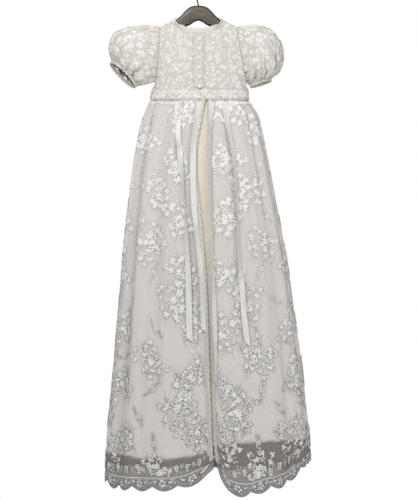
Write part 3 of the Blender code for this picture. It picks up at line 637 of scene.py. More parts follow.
@dataclass(frozen=True)
class Stitching(Finish):
    """Embroidery in rayon thread: satin stitch with a soft gloss, in rows that catch the light."""

    thread: float = 0.9  # real thread is 0.3 mm: its rows are drawn about 2.5 mm apart, so that they show

    def material(self) -> bpy.types.Material:
        """Colour darkens towards each stitch's foot as painted shade, in small clouds, and bump follows rows
        of thread.
        """
        tree, shader, made = self.start()
        place = add(tree, "TexCoord").outputs["Object"]
        rows = add(
            tree, "TexWave",
            {"Vector": place, "Scale": PER_MM / self.thread / WAVE, "Distortion": 3.0, "Detail": 1.0,
             "Detail Scale": 0.6},
            bands_direction="DIAGONAL",
        )
        cloud = add(tree, "TexNoise", {"Vector": place, "Scale": 90.0, "Detail": 2.0}).outputs["Fac"]
        # The crown and the foot's painted shade pick between the dark and light colours: a painted shadow
        # round each stitch.
        crown = add(tree, "Attribute", attribute_name="crown").outputs["Fac"]
        height = add(tree, "Math", {0: cloud, 1: 0.35, 2: crown}, operation="MULTIPLY_ADD")
        ramp = {"Value": height.outputs["Value"], "From Min": 0.47, "From Max": 1.0}
        body = add(tree, "MapRange", ramp).outputs["Result"]
        relief = {"Height": rows.outputs["Fac"], "Strength": 0.35, "Distance": 0.0004}
        bump = add(tree, "Bump", relief)
        wire(shader, {"Base Color": self.shaded(tree, body), "Normal": bump.outputs["Normal"]})
        return made


@dataclass(frozen=True)
class Satin(Finish):
    """Woven satin: smooth, with long floats down the cloth and soft creases that blur its gloss."""

    float_width: float = 0.8  # real floats are 0.1 mm: they are drawn about 1.6 mm apart, so that they show
    crease: float = 0.0012

    def material(self) -> bpy.types.Material:
        """Colour follows the creases, darker in their low parts as painted shade, and bump follows floats
        and creases.
        """
        tree, shader, made = self.start()
        uv = add(tree, "UVMap", uv_map="cloth").outputs["UV"]
        stretch = add(tree, "Mapping", {"Vector": uv, "Scale": (9.0, 22.0, 1.0)}).outputs["Vector"]
        soft = {"Vector": stretch, "Scale": 1.0, "Detail": 4.0, "Distortion": 1.2}
        creases = add(tree, "TexNoise", soft).outputs["Fac"]
        weft = {"Vector": uv, "Scale": PER_MM / self.float_width / WAVE, "Distortion": 1.5}
        floats = add(tree, "TexWave", weft, bands_direction="X").outputs["Fac"]
        height = add(tree, "Math", {0: floats, 1: 0.04, 2: creases}, operation="MULTIPLY_ADD")
        relief = {"Height": height.outputs["Value"], "Strength": 0.5, "Distance": self.crease}
        bump = add(tree, "Bump", relief)
        # The base colour reuses the crease noise: painted shade in the creases' troughs.
        wire(shader, {"Base Color": self.shaded(tree, creases), "Normal": bump.outputs["Normal"]})
        return made


@dataclass(frozen=True)
class StainedWood(Finish):
    """Beech turned brown by stain under a thin satin varnish, with painted shade on its rounded edges."""

    grain: float = 2.2  # width of a growth ring's band, mm
    # The painted shade on the rounded edges, where they turn away from the light.
    rim: str = "#1E1813"

    def material(self) -> bpy.types.Material:
        """Colour and bump follow the grain along the bar, and colour darkens to painted shade on the edges.
        """
        tree, shader, made = self.start()
        place = add(tree, "TexCoord").outputs["Object"]
        turned = {"Vector": place, "Scale": (0.1, 1.0, 1.0), "Rotation": (0.0, 0.1, 0.0)}
        along = add(tree, "Mapping", turned).outputs["Vector"]
        rings = {"Vector": along, "Scale": PER_MM / self.grain, "Detail": 4.0, "Distortion": 0.6}
        grain = add(tree, "TexNoise", rings).outputs["Fac"]
        bump = add(tree, "Bump", {"Height": grain, "Strength": 0.2, "Distance": 0.0003})
        edge = add(tree, "Attribute", attribute_name="edge").outputs["Fac"]
        ends = {"Factor": edge, "A": self.shaded(tree, grain), "B": colour(self.rim)}
        painted_edge_shade = add(tree, "Mix", ends, data_type="RGBA")
        wire(shader, {"Base Color": painted_edge_shade.outputs[MIXED], "Normal": bump.outputs["Normal"]})
        return made


@dataclass(frozen=True)
class Plain(Finish):
    """An even finish with a little unevenness in its colour."""

    grit: float = 6.0  # mm between patches

    def material(self) -> bpy.types.Material:
        """Colour varies in small clouds."""
        tree, shader, made = self.start()
        place = add(tree, "TexCoord").outputs["Object"]
        cloud = add(tree, "TexNoise", {"Vector": place, "Scale": PER_MM / self.grit, "Detail": 3.0})
        wire(shader, {"Base Color": self.shaded(tree, cloud.outputs["Fac"])})
        return made


class Stuff(Enum):
    """The gown's and hanger's real materials."""

    TULLE = Tulle("ivory polyester tulle", "#FCFAFA", "#DCD9D9", 0.85, sheen=0.1)
    GROUND = Plain("ivory lace ground", "#D8D5CF", "#BFBBB4", 0.8, sheen=0.1, grit=5.0)
    # A Stitching finish's dark colour is painted shade, laid round its stitches' feet.
    THREAD = Stitching("ivory rayon embroidery", "#EEECE8", "#34302E", 0.5, sheen=0.1)
    GUIPURE = Stitching("ivory guipure lace", "#E6E3DD", "#A6A199", 0.55, sheen=0.1)
    # Ivory thread with a deeper painted shade at its stitches' feet; that shade makes the hem's embroidery
    # look grey.
    SILVER = Stitching("ivory rayon embroidery with deep painted shade", "#EFEDEC", "#2E2B2A", 0.5, sheen=0.2)
    # A Satin finish's dark colour is painted shade in the low parts of its creases.
    LINING = Satin("ivory satin lining", "#E7E2D2", "#D6CFBD", 0.5, sheen=0.1)
    RIBBON = Satin("white satin ribbon", "#E8E7E6", "#D2D1D0", 0.36, sheen=0.1, crease=0.0006)
    PEARL = Plain("pearl shell button", "#F4F0E8", "#E0DACD", 0.22, coat=0.4, grit=3.0)
    WOOD = StainedWood("brown stained beech", "#7C6C5D", "#120E0B", 0.42, coat=0.2)
    WIRE = Plain("dark drawn steel wire", "#3A342E", "#2A2622", 0.38, metallic=0.9)
    FLOOR = Plain("pale painted floor", "#F2F1EF", "#EDECEA", 0.7, grit=400.0)


class Look(NamedTuple):
    """What a cloth and its embroidery are made of, and their slot in the record."""

    ground: Stuff
    thread: Stuff
    slot: str


SKIRT_NET = Look(Stuff.TULLE, Stuff.THREAD, "embroidered_net")
HEM_LACE = Look(Stuff.TULLE, Stuff.SILVER, "hem_lace")
BODICE_NET = Look(Stuff.GROUND, Stuff.THREAD, "embroidered_net")
APPLIQUE = Look(Stuff.GROUND, Stuff.THREAD, "lace_trim")
TRIM = Look(Stuff.GROUND, Stuff.GUIPURE, "lace_trim")


class Wardrobe:
    """Makes each material once and puts it on pieces that ride on the frame."""

    def __init__(self) -> None:
        """Starts with no material made."""
        self.made: dict[Stuff, bpy.types.Material] = {}

    def dress(self, obj: Object, stuff: Stuff, slot: str, *nodes: str) -> Object:
        """Gives a piece its material and its body, and hides the nodes it stands for.

        Args:
            obj: The piece.
            stuff: What it is made of.
            slot: The record's material slot. Not used.
            nodes: The frame's nodes that it replaces.

        Returns:
            The piece.
        """
        if stuff not in self.made:
            self.made[stuff] = stuff.value.material()
        obj.data.materials.clear()
        obj.data.materials.append(self.made[stuff])
        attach(obj, "root")
        if nodes:
            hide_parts(*nodes)
        LOG.info("%s: %d faces of %s", obj.name, len(obj.data.polygons), stuff.value.name)
        return obj


# --- stitches -------------------------------------------------------------------------------------
class Shape(NamedTuple):
    """A small stitched shape. It is one unit long and wide, and one unit high at its rim."""

    points: Grid
    faces: Grid


class Stitches:
    """The shapes that all the embroidery is made from, modelled once each."""

    def __init__(self) -> None:
        """Models a petal, a leaf and a bead."""
        self.petal = self.rimmed(6, 0.62, 0.5, blunt=1.0)
        self.leaf = self.rimmed(6, 0.58, 0.5, blunt=0.4)
        self.bead = self.rimmed(6, 0.5, 1.15, blunt=1.0)

    def rimmed(self, sides: int, rim: float, middle: float, blunt: float) -> Shape:
        """Models a flat shape with a raised rim.

        Args:
            sides: Corners round it.
            rim: How far out the rim's crest lies, as a share of the shape.
            middle: The middle's height, as a share of the rim's.
            blunt: 1 for a round end, less for a pointed one.

        Returns:
            The shape, from its root at the origin along +X.
        """
        bpy.ops.object.select_all(action="DESELECT")
        bpy.ops.mesh.primitive_circle_add(vertices=sides, radius=0.5, fill_type="TRIFAN")
        made = bpy.context.object
        bpy.ops.object.mode_set(mode="EDIT")
        bpy.ops.mesh.select_all(action="SELECT")
        bpy.ops.mesh.inset(thickness=0.5 * (1.0 - rim))
        bpy.ops.transform.translate(value=(0.0, 0.0, 1.0))
        bpy.ops.object.mode_set(mode="OBJECT")
        points = np.array([v.co for v in made.data.vertices])
        out = np.hypot(points[:, 0], points[:, 1])
        points[out < 0.05, 2] = middle
        points[:, 0] += 0.5
        taper = 1.0 - (1.0 - blunt) * np.abs(2.0 * points[:, 0] - 1.0) ** 1.5
        points[:, 1] *= taper
        made.data.calc_loop_triangles()
        faces = np.array([t.vertices for t in made.data.loop_triangles])
        bpy.data.objects.remove(made)
        return Shape(points, faces)


@dataclass
class Embroidery:
    """Stitches sewn on one piece of cloth. Each motif is drawn in millimetres about a place on the cloth."""

    stitches: Stitches
    cloth: Cloth
    seed: int
    margin: float = 1.2  # stitches nearer to a free edge than this are left out
    lift: float = 0.35  # height of the stitches' foot above the cloth
    stagger: float = 0.7  # the most by which a stitch's foot lies higher on the stitches below it
    full: float = 1.1  # a point this far above its stitch's foot has the full crown, clear of the painted foot shade
    points: list[Grid] = field(default_factory=list)
    faces: list[Grid] = field(default_factory=list)
    count: int = 0
    place: tuple[float, float] = (0.0, 0.0)

    def __post_init__(self) -> None:
        """Measures the cloth, and seeds the small differences between one stitch and the next."""
        self.random = np.random.default_rng(self.seed)
        self.widths = self.cloth.widths()
        self.length = self.cloth.length()

    def width_at(self, down: Grid | float) -> Grid:
        """The cloth's width at a share of the way down it."""
        return np.interp(down, np.linspace(0.0, 1.0, len(self.widths)), self.widths)

    def move_to(self, u: float, v: float) -> None:
        """Starts a motif at a place in millimetres from the cloth's first column and row."""
        down = v / self.length
        self.place = (u / float(self.width_at(down)), down)

    def put(self, flat: Grid, faces: Grid, base: float = 0.0) -> None:
        """Adds a stitch unless it runs off the cloth.

        Args:
            flat: Its points: millimetres across and down from the motif's place, and height.
            faces: Its triangles.
            base: Height of its foot, which lies on the stitches below it.
        """
        down = self.place[1] + flat[:, 1] / self.length
        width = self.width_at(down)
        across = self.place[0] + flat[:, 0] / width
        free = down.min() * self.length < self.margin or (1.0 - down.max()) * self.length < self.margin
        if not self.cloth.closed:
            sides = np.minimum(across * width, (1.0 - across) * width)
            free = free or sides.min() < self.margin
        if free:
            return
        self.points.append(np.stack([across, down, flat[:, 2] + base, flat[:, 2]], axis=1))
        self.faces.append(faces + self.count)
        self.count += len(flat)

    def lay(
        self, shape: Shape, u: float, v: float, turn: float, length: float, width: float, high: float
    ) -> None:
        """Lays a shape with its root at a place.

        Args:
            shape: The stitched shape.
            u: Millimetres across from the motif's place.
            v: Millimetres down from it.
            turn: Degrees from across towards up.
            length: The shape's length.
            width: Its width.
            high: Its height at the rim.
        """
        x, y = shape.points[:, 0] * length, shape.points[:, 1] * width
        s, c = math.sin(math.radians(turn)), math.cos(math.radians(turn))
        flat = np.stack([u + x * c - y * s, v - x * s - y * c, shape.points[:, 2] * high], axis=1)
        self.put(flat, shape.faces, self.random.uniform(0.0, self.stagger))

    def cord(self, line: Grid, width: float, high: float) -> None:
        """Lays a cord along a line of points across and down from the motif's place."""
        along = np.gradient(line, axis=0)
        along /= np.maximum(np.linalg.norm(along, axis=1, keepdims=True), 1e-9)
        side = np.stack([-along[:, 1], along[:, 0]], axis=1) * width / 2.0
        flat = np.zeros((len(line), 1))
        edges = ((line - side, flat), (line, flat + high), (line + side, flat))
        rails = [np.hstack(edge) for edge in edges]
        i, count = np.arange(len(line) - 1), len(line)
        strips = []
        for a in (0, 1):
            one, two = a * count + i, (a + 1) * count + i
            strips += [np.stack([one, two + 1, two], axis=1), np.stack([one, one + 1, two + 1], axis=1)]
        self.put(np.vstack(rails), np.vstack(strips))

    def ring(self, u: float, v: float, across: float, down: float, width: float, high: float) -> None:
        """Lays an oval loop of cord, given its two radii."""
        turn = np.linspace(0.0, 2.0 * math.pi, 11)
        self.cord(np.stack([u + across * np.cos(turn), v + down * np.sin(turn)], axis=1), width, high)

    def flower(self, u: float, v: float, size: float, petals: int = 5, high: float = 1.2) -> None:
        """Lays a flower of petals round a bead."""
        start = self.random.uniform(0.0, 72.0)
        for k in range(petals):
            turn = start + k * 360.0 / petals + self.random.uniform(-6.0, 6.0)
            s, c = math.sin(math.radians(turn)), math.cos(math.radians(turn))
            long = 0.46 * size * self.random.uniform(0.92, 1.08)
            root = u + 0.09 * size * c, v - 0.09 * size * s
            self.lay(self.stitches.petal, *root, turn, long, 0.4 * size, high)
        self.lay(self.stitches.bead, u - 0.12 * size, v, 0.0, 0.24 * size, 0.24 * size, 1.4 * high)

    def leaf(self, u: float, v: float, turn: float, length: float, high: float = 1.0) -> None:
        """Lays a leaf."""
        self.lay(self.stitches.leaf, u, v, turn, length, length * self.random.uniform(0.34, 0.44), high)

    def sprig(self, u: float, v: float, heading: float, bend: float, length: float, leaf: float) -> None:
        """Lays a curved stem with leaves on both sides and one at its tip.

        Args:
            u: Where the stem starts, across.
            v: Where it starts, down.
            heading: Its first direction, in degrees from across towards up.
            bend: How far it turns along its length, in degrees.
            length: Its length.
            leaf: The length of its longest leaf.
        """
        steps = max(4, int(length / 4.0))
        line = [(u, v)]
        for k in range(steps):
            turn = math.radians(heading + bend * k / steps)
            u, v = u + math.cos(turn) * length / steps, v - math.sin(turn) * length / steps
            line.append((u, v))
        self.cord(np.array(line), 1.6, 0.8)
        pairs = max(2, int(length / (leaf * 0.66)))
        for k in range(pairs):
            share = (k + 0.5) / pairs
            x, y = line[int(share * steps)]
            size = leaf * (1.0 - 0.35 * share) * self.random.uniform(0.85, 1.1)
            for way in (-1.0, 1.0):
                self.leaf(x, y, heading + bend * share + way * self.random.uniform(38.0, 58.0), size)
        self.leaf(u, v, heading + bend, leaf * 0.75)

    def fan(self, u: float, v: float, heading: float, size: float) -> None:
        """Lays five pointed leaves spread from one place, the middle one longest."""
        for lean, share in ((-66.0, 0.62), (-33.0, 0.86), (0.0, 1.0), (33.0, 0.86), (66.0, 0.62)):
            turn = heading + lean + self.random.uniform(-8.0, 8.0)
            self.leaf(u, v, turn, size * share * self.random.uniform(0.88, 1.1))

    def bouquet(self, size: float) -> None:
        """Lays a leaning cluster: four flowers, fans of leaves among and round them, and four sprigs."""
        way = 1.0 if self.random.random() < 0.5 else -1.0
        lean = self.random.uniform(25.0, 65.0) * way
        s, c = math.sin(math.radians(lean)), math.cos(math.radians(lean))

        def spot(near: float, off: float) -> tuple[float, float]:
            """A place along and beside the cluster's own line, in shares of its size."""
            return (near * c - off * s) * size, -(near * s + off * c) * size

        for near, off, scale in (
            (-0.15, 0.02, 0.17), (0.09, -0.08, 0.15), (0.06, 0.12, 0.14), (0.27, 0.02, 0.12),
        ):
            self.flower(*spot(near, off), scale * size)
        for near, off, turn in (
            (-0.27, -0.01, 180.0), (-0.2, 0.1, 135.0), (-0.2, -0.11, 222.0), (-0.07, 0.12, 108.0),
            (-0.05, -0.1, 262.0), (0.09, 0.2, 72.0), (0.02, -0.2, 288.0), (0.22, -0.12, 325.0),
            (0.34, 0.04, 355.0), (0.2, 0.16, 40.0), (-0.02, 0.03, 60.0), (0.17, 0.05, 215.0),
            (-0.36, 0.1, 160.0), (0.38, -0.12, 330.0), (-0.14, -0.24, 250.0), (0.24, 0.27, 60.0),
            (0.0, -0.06, 140.0), (-0.08, 0.04, 330.0),
        ):
            near, off = near + self.random.uniform(-0.05, 0.05), off + self.random.uniform(-0.05, 0.05)
            place = spot(near, off)
            self.fan(*place, lean + turn + self.random.uniform(-25.0, 25.0), 0.15 * size)
        for heading, bend in ((18.0, 50.0), (196.0, 55.0), (75.0, -60.0), (255.0, -60.0)):
            turn = lean + heading + self.random.uniform(-12.0, 12.0)
            reach = 0.27 * size * self.random.uniform(0.8, 1.2)
            near, off = 0.22 * math.cos(math.radians(heading)), 0.13 * math.sin(math.radians(heading))
            self.sprig(*spot(near, off), turn, bend * way, reach, 0.135 * size)

    def posy(self, size: float, heading: float) -> None:
        """Lays one small flower between two leafy tails."""
        self.flower(0.0, 0.0, 0.3 * size)
        for way in (0.0, 180.0):
            bend = self.random.uniform(25.0, 60.0)
            self.sprig(0.0, 0.0, heading + way, bend, 0.5 * size, 0.24 * size)

    def sew(self, name: str) -> Object:
        """Hangs the stitches on their cloth, as one mesh with each point's crown, low at a stitch's foot and
        lowest at the hem, which the material paints as shade.
        """
        flat, rows = np.vstack(self.points), np.vstack(self.faces)
        placed = self.cloth.at(flat[:, 0], flat[:, 1], flat[:, 2] + self.lift)
        made = new_mesh(name, placed, rows[:, ::-1] if self.cloth.mirrored() else rows)
        layer = made.data.attributes.new("crown", "FLOAT", "POINT")
        crown = np.clip(flat[:, 3] / self.full, 0.0, 1.0)
        # Painted shade at each stitch's foot, deepest at the hem.
        foot = np.interp(placed[:, 2], (HEM_Z, WAIST_Z), FOOT_SHADE)
        layer.data.foreach_set("value", (crown + (1.0 - crown) * foot).astype(np.float32))
        return made


@dataclass(frozen=True)
class Edging:
    """A narrow scalloped lace. Its cloth's first row is its foot, and its last row the free edge."""

    pitch: float
    cord: float = 1.5
    flower: float = 9.0
    tall: float = 20.0  # a strip taller than this has room for fans as well

    def lay(self, work: Embroidery) -> None:
        """Covers the whole strip, scallop by scallop."""
        tall, along = work.length, float(work.widths.mean())
        count = max(1, round(along / self.pitch))
        pitch = along / count
        for k in range(count):
            work.move_to((k + 0.5) * pitch, 0.0)
            x = np.linspace(-0.5, 0.5, 11) * pitch
            wave = np.cos(np.linspace(-0.5, 0.5, 11) * math.pi)
            for share, bow, cord in ((0.9, 0.0, 1.3), (0.66, 0.2, 1.0)):
                work.cord(np.stack([x, tall * (share - bow * (1.0 - wave))], axis=1), self.cord * cord, 1.0)
            work.cord(np.stack([x, np.full(11, 0.1 * tall)], axis=1), self.cord, 0.9)
            if tall > self.tall:
                for u in (-0.38, 0.0, 0.38):
                    work.fan(u * pitch, 0.22 * tall, 90.0 + 60.0 * u, 0.2 * tall)
                    work.fan((u + 0.06) * pitch, 0.7 * tall, -90.0 - 60.0 * u, 0.18 * tall)
            work.flower(0.0, 0.42 * tall, self.flower)
            for way in (-1.0, 1.0):
                turn = 90.0 - way * 60.0
                work.leaf(way * 0.18 * pitch, 0.5 * tall, turn, 0.3 * pitch)
                work.leaf(way * 0.16 * pitch, 0.3 * tall, 90.0 - way * 100.0, 0.26 * pitch)
                work.leaf(way * 0.5 * pitch, 0.66 * tall, 90.0 + way * 26.0, 0.4 * tall)
                work.ring(way * 0.34 * pitch, 0.2 * tall, 0.07 * pitch, 0.08 * tall, self.cord * 0.8, 0.9)
            picots = max(3, round(pitch / (3.0 * self.cord)))
            for i in range(picots):
                u = (i + 0.5) / picots - 0.5
                down = 0.06 * tall + 0.3 * self.cord
                work.ring(u * pitch, 0.79 * tall, 0.9 * self.cord, down, self.cord * 0.7, 0.8)


# --- folds sewn or worn into a piece --------------------------------------------------------------
class Crease(NamedTuple):
    """A soft ridge in a piece, or a trough where its height is negative. Places are shares of the cloth."""

    across: float
    start: float
    end: float
    width: float
    height: float
    drift: float = 0.0


def press(cloth: Cloth, creases: Iterable[Sequence[float]]) -> None:
    """Presses creases into a piece. Widths are shares of its width and heights millimetres."""
    rows, columns = cloth.points.shape[:2]
    down = np.linspace(0.0, 1.0, rows)[:, None]
    across = np.linspace(0.0, 1.0, columns, endpoint=not cloth.closed)[None, :]
    relief = np.zeros((rows, columns))
    for crease in (Crease(*sizes) for sizes in creases):
        along = (down - crease.start) / (crease.end - crease.start)
        away = across - crease.across - crease.drift * along
        if cloth.closed:
            away = (away + 0.5) % 1.0 - 0.5
        rise = ease(along * 2.5) if crease.start > 0.0 else 1.0
        fade = rise * (ease((1.0 - along) * 2.0) if crease.end < 1.0 else 1.0)
        within = (along >= 0.0) & (along <= 1.0)
        relief += crease.height * hump(away, crease.width) * np.where(within, fade, 0.0)
    cloth.raise_by(relief)


@dataclass(frozen=True)
class Gathers:
    """Small uneven pleats where cloth is drawn up into a seam."""

    count: int
    height: float
    reach: float  # share of the piece's length that the longest of them runs
    seed: int
    foot: bool = False  # True where the seam is at the piece's last row

    def creases(self) -> list[Crease]:
        """One ridge for each pleat, uneven in place, width, height, length and direction."""
        random = np.random.default_rng(self.seed)
        made = []
        for k in range(self.count):
            across = (k + 0.5 + random.uniform(-0.3, 0.3)) / self.count
            end = self.reach * random.uniform(0.3, 1.0)
            width = random.uniform(0.18, 0.32) / self.count
            height = self.height * random.uniform(0.45, 1.0)
            made.append(Crease(across, 0.0, end, width, height, random.uniform(-0.4, 0.4) / self.count))
        return made

    def press_into(self, cloth: Cloth) -> None:
        """Presses the pleats into a piece, from its first or last row."""
        if self.foot:
            cloth.points = cloth.points[::-1]
        press(cloth, self.creases())
        if self.foot:
            cloth.points = cloth.points[::-1]


# --- sub-assemblies -------------------------------------------------------------------------------
@dataclass
class Workroom:
    """What every sub-assembly is made with."""

    wardrobe: Wardrobe
    stitches: Stitches

    def make(
        self, cloth: Cloth, wall: float, look: Look, seed: int, cover: Callable[[Embroidery], None],
        held: str, rests_on: Sequence[str], even: bool = False, margin: float = 1.2,
        turning: float = 0.0, shade: Grid | None = None,
    ) -> None:
        """Weaves a cloth piece, embroiders it, dresses both, and works out the size the piece was cut to,
        which is not kept.

        Args:
            cloth: The piece's grid. It stands for the node that it is named after.
            wall: Its thickness, mm.
            look: What it and its stitches are made of.
            seed: The seed of the small differences between its stitches.
            cover: Lays its stitches.
            held: How it hangs.
            rests_on: The nodes that hold it.
            even: Whether the stitches lie at even steps over a piece whose points don't.
            margin: How near to a free edge a stitch may come, mm.
            turning: Cloth turned under or caught in the seams, added to its length, mm.
            shade: The `sheer` attribute of each grid point.
        """
        net = weave(cloth, wall, shade)
        work = Embroidery(self.stitches, cloth.evened() if even else cloth, seed, margin)
        cover(work)
        node = cloth.name.rsplit("_", 1)[0]
        stitching = work.sew(f"{node}_embroidery")
        self.wardrobe.dress(net, look.ground, look.slot, node)
        self.wardrobe.dress(stitching, look.thread, look.slot)
        self.declare(net, cloth, held, rests_on, [stitching], turning)

    def declare(
        self, obj: Object, cloth: Cloth, held: str, rests_on: Sequence[str],
        with_pieces: Sequence[Object] = (), turning: float = 0.0,
    ) -> None:
        """Works out what size a cloth piece was cut to, but neither keeps nor returns it.

        Args:
            obj: The finished piece. Not used.
            cloth: Its grid.
            held: How it hangs. Not used.
            rests_on: The nodes that hold it. Not used.
            with_pieces: The pieces sewn on it. Not used.
            turning: Cloth turned under or caught in the seams, added to its length, mm.
        """
        width, length = float(cloth.widths().max()) * MM, (cloth.length() + turning) * MM
        area = min(cloth.area() * MM * MM, width * length)


@dataclass
class Studio:
    """A plain pale floor, soft lights and the camera, in metres."""

    aim: tuple[float, float] = (0.0224, -0.6)  # x and z of the middle of the view
    distance: float = 12.0
    view_height: float = 1.1
    floor_z: float = -1.35
    sky: float = 0.37

    def build(self) -> None:
        """Sets up the floor, world, lights and camera."""
        bpy.ops.object.select_all(action="DESELECT")
        bpy.ops.mesh.primitive_grid_add(x_subdivisions=8, y_subdivisions=8, size=8.0)
        floor = bpy.context.object
        floor.name = "studio_floor"
        for vertex in floor.data.vertices:
            vertex.co.z = self.floor_z
        floor.data.materials.append(Stuff.FLOOR.value.material())
        floor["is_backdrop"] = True
        scene = bpy.context.scene
        scene.view_settings.view_transform = "Standard"
        self.light_world(scene)
        self.add_light("key", (-0.45, -1.5, 0.45), (0.02, 0.0, -0.4), 0.7, 16.0)
        self.add_light("fill", (1.3, -2.0, -0.5), (0.0, 0.0, -0.75), 1.2, 11.0)
        self.add_light("top", (0.0, -0.2, 1.3), (0.0, 0.0, -0.2), 1.6, 7.0)
        self.add_light("back", (0.7, 2.4, 0.3), (0.0, 0.0, -0.5), 1.6, 30.0)
        self.add_camera(scene)

    def light_world(self, scene: bpy.types.Scene) -> None:
        """White behind the gown, and a softer even light on it."""
        world = bpy.data.worlds.new("studio")
        world.use_nodes = True
        tree = world.node_tree
        tree.nodes.clear()
        path = add(tree, "LightPath")
        seen = add(tree, "Background", {"Color": (1.0, 1.0, 1.0, 1.0), "Strength": 1.0})
        given = add(tree, "Background", {"Color": (1.0, 0.985, 0.965, 1.0), "Strength": self.sky})
        ends = {"Fac": path.outputs["Is Camera Ray"], 1: given.outputs[0], 2: seen.outputs[0]}
        both = add(tree, "MixShader", ends)
        add(tree, "OutputWorld", {"Surface": both.outputs[0]})
        scene.world = world

    def add_light(
        self, name: str, place: Sequence[float], target: Sequence[float], size: float, watts: float
    ) -> None:
        """Adds a square soft box that points at a target."""
        light = bpy.data.lights.new(name, "AREA")
        light.size, light.energy = size, watts
        made = bpy.data.objects.new(name, light)
        made.location = place
        made.rotation_euler = (Vector(target) - Vector(place)).to_track_quat("-Z", "Y").to_euler()
        bpy.context.scene.collection.objects.link(made)

    def add_camera(self, scene: bpy.types.Scene) -> None:
        """Adds a level camera straight in front of the gown."""
        camera = bpy.data.cameras.new("camera")
        camera.sensor_fit = "AUTO"
        camera.lens = camera.sensor_width * self.distance / self.view_height
        camera.clip_end = 60.0
        made = bpy.data.objects.new("camera", camera)
        made.location = (self.aim[0], -self.distance, self.aim[1])
        made.rotation_euler = (math.radians(90.0), 0.0, 0.0)
        scene.collection.objects.link(made)
        scene.camera = made


@dataclass
class Hanger:
    """A small flat wooden hanger with a wire hook. Its edges are rounded over and carry painted shade."""

    room: Workroom
    columns: int = 96
    half_thickness: float = 5.8
    round_over: float = 4.6
    edge_fade: float = 0.3  # the painted shade of the edges fades in over this depth, mm

    def build(self) -> None:
        """Builds the bar and dresses the hook."""
        bar = self.bar()
        self.room.wardrobe.dress(bar, Stuff.WOOD, "hanger_wood", "hanger_bar")
        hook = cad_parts["hanger_hook"]
        wire = Stuff.WIRE.value.material()
        for slot in hook.material_slots:
            slot.material = wire

    def bar(self) -> Object:
        """Cuts the bar from a board along its outline and rounds both its edges over."""
        bpy.ops.object.select_all(action="DESELECT")
        bpy.ops.mesh.primitive_grid_add(x_subdivisions=self.columns, y_subdivisions=1, size=2.0)
        made = bpy.context.object
        made.name = "hanger_bar_wood"
        end = float(BAR.keys[-1])
        for vertex in made.data.vertices:
            x = end * math.sin(vertex.co.x * math.pi / 2.0)
            column = "top" if vertex.co.y > 0.0 else "under"
            vertex.co = Vector((x, -self.half_thickness, float(BAR.read(column, abs(x))))) * MM
        bpy.ops.object.mode_set(mode="EDIT")
        bpy.ops.mesh.select_all(action="SELECT")
        bpy.ops.mesh.extrude_region_move(
            TRANSFORM_OT_translate={"value": (0.0, 2.0 * self.half_thickness * MM, 0.0)}
        )
        bpy.ops.mesh.select_all(action="SELECT")
        bpy.ops.mesh.normals_make_consistent(inside=False)
        bpy.ops.mesh.select_mode(type="EDGE")
        bpy.ops.mesh.select_all(action="DESELECT")
        bpy.ops.object.mode_set(mode="OBJECT")
        rim = self.half_thickness * MM * 0.99
        sides = [abs(p.normal.y) < 0.5 for p in made.data.polygons]
        walls, faces = set(), set()
        for polygon, side in zip(made.data.polygons, sides):
            (walls if side else faces).update(polygon.edge_keys)
        for edge in made.data.edges:
            flat = all(abs(made.data.vertices[v].co.y) > rim for v in edge.vertices)
            edge.select = flat and edge.key in walls and edge.key in faces
        bpy.ops.object.mode_set(mode="EDIT")
        bpy.ops.mesh.bevel(offset=self.round_over * MM, segments=5, affect="EDGES")
        bpy.ops.object.mode_set(mode="OBJECT")
        # The `edge` attribute marks where the wood's material paints shade on the rounded edges.
        layer = made.data.attributes.new("edge", "FLOAT", "POINT")
        depth = np.array([abs(v.co.y) for v in made.data.vertices]) / MM
        dark = ease((self.half_thickness - depth) / self.edge_fade)
        layer.data.foreach_set("value", dark.astype(np.float32))
        bpy.ops.object.shade_smooth_by_angle(angle=math.radians(40.0))
        return made


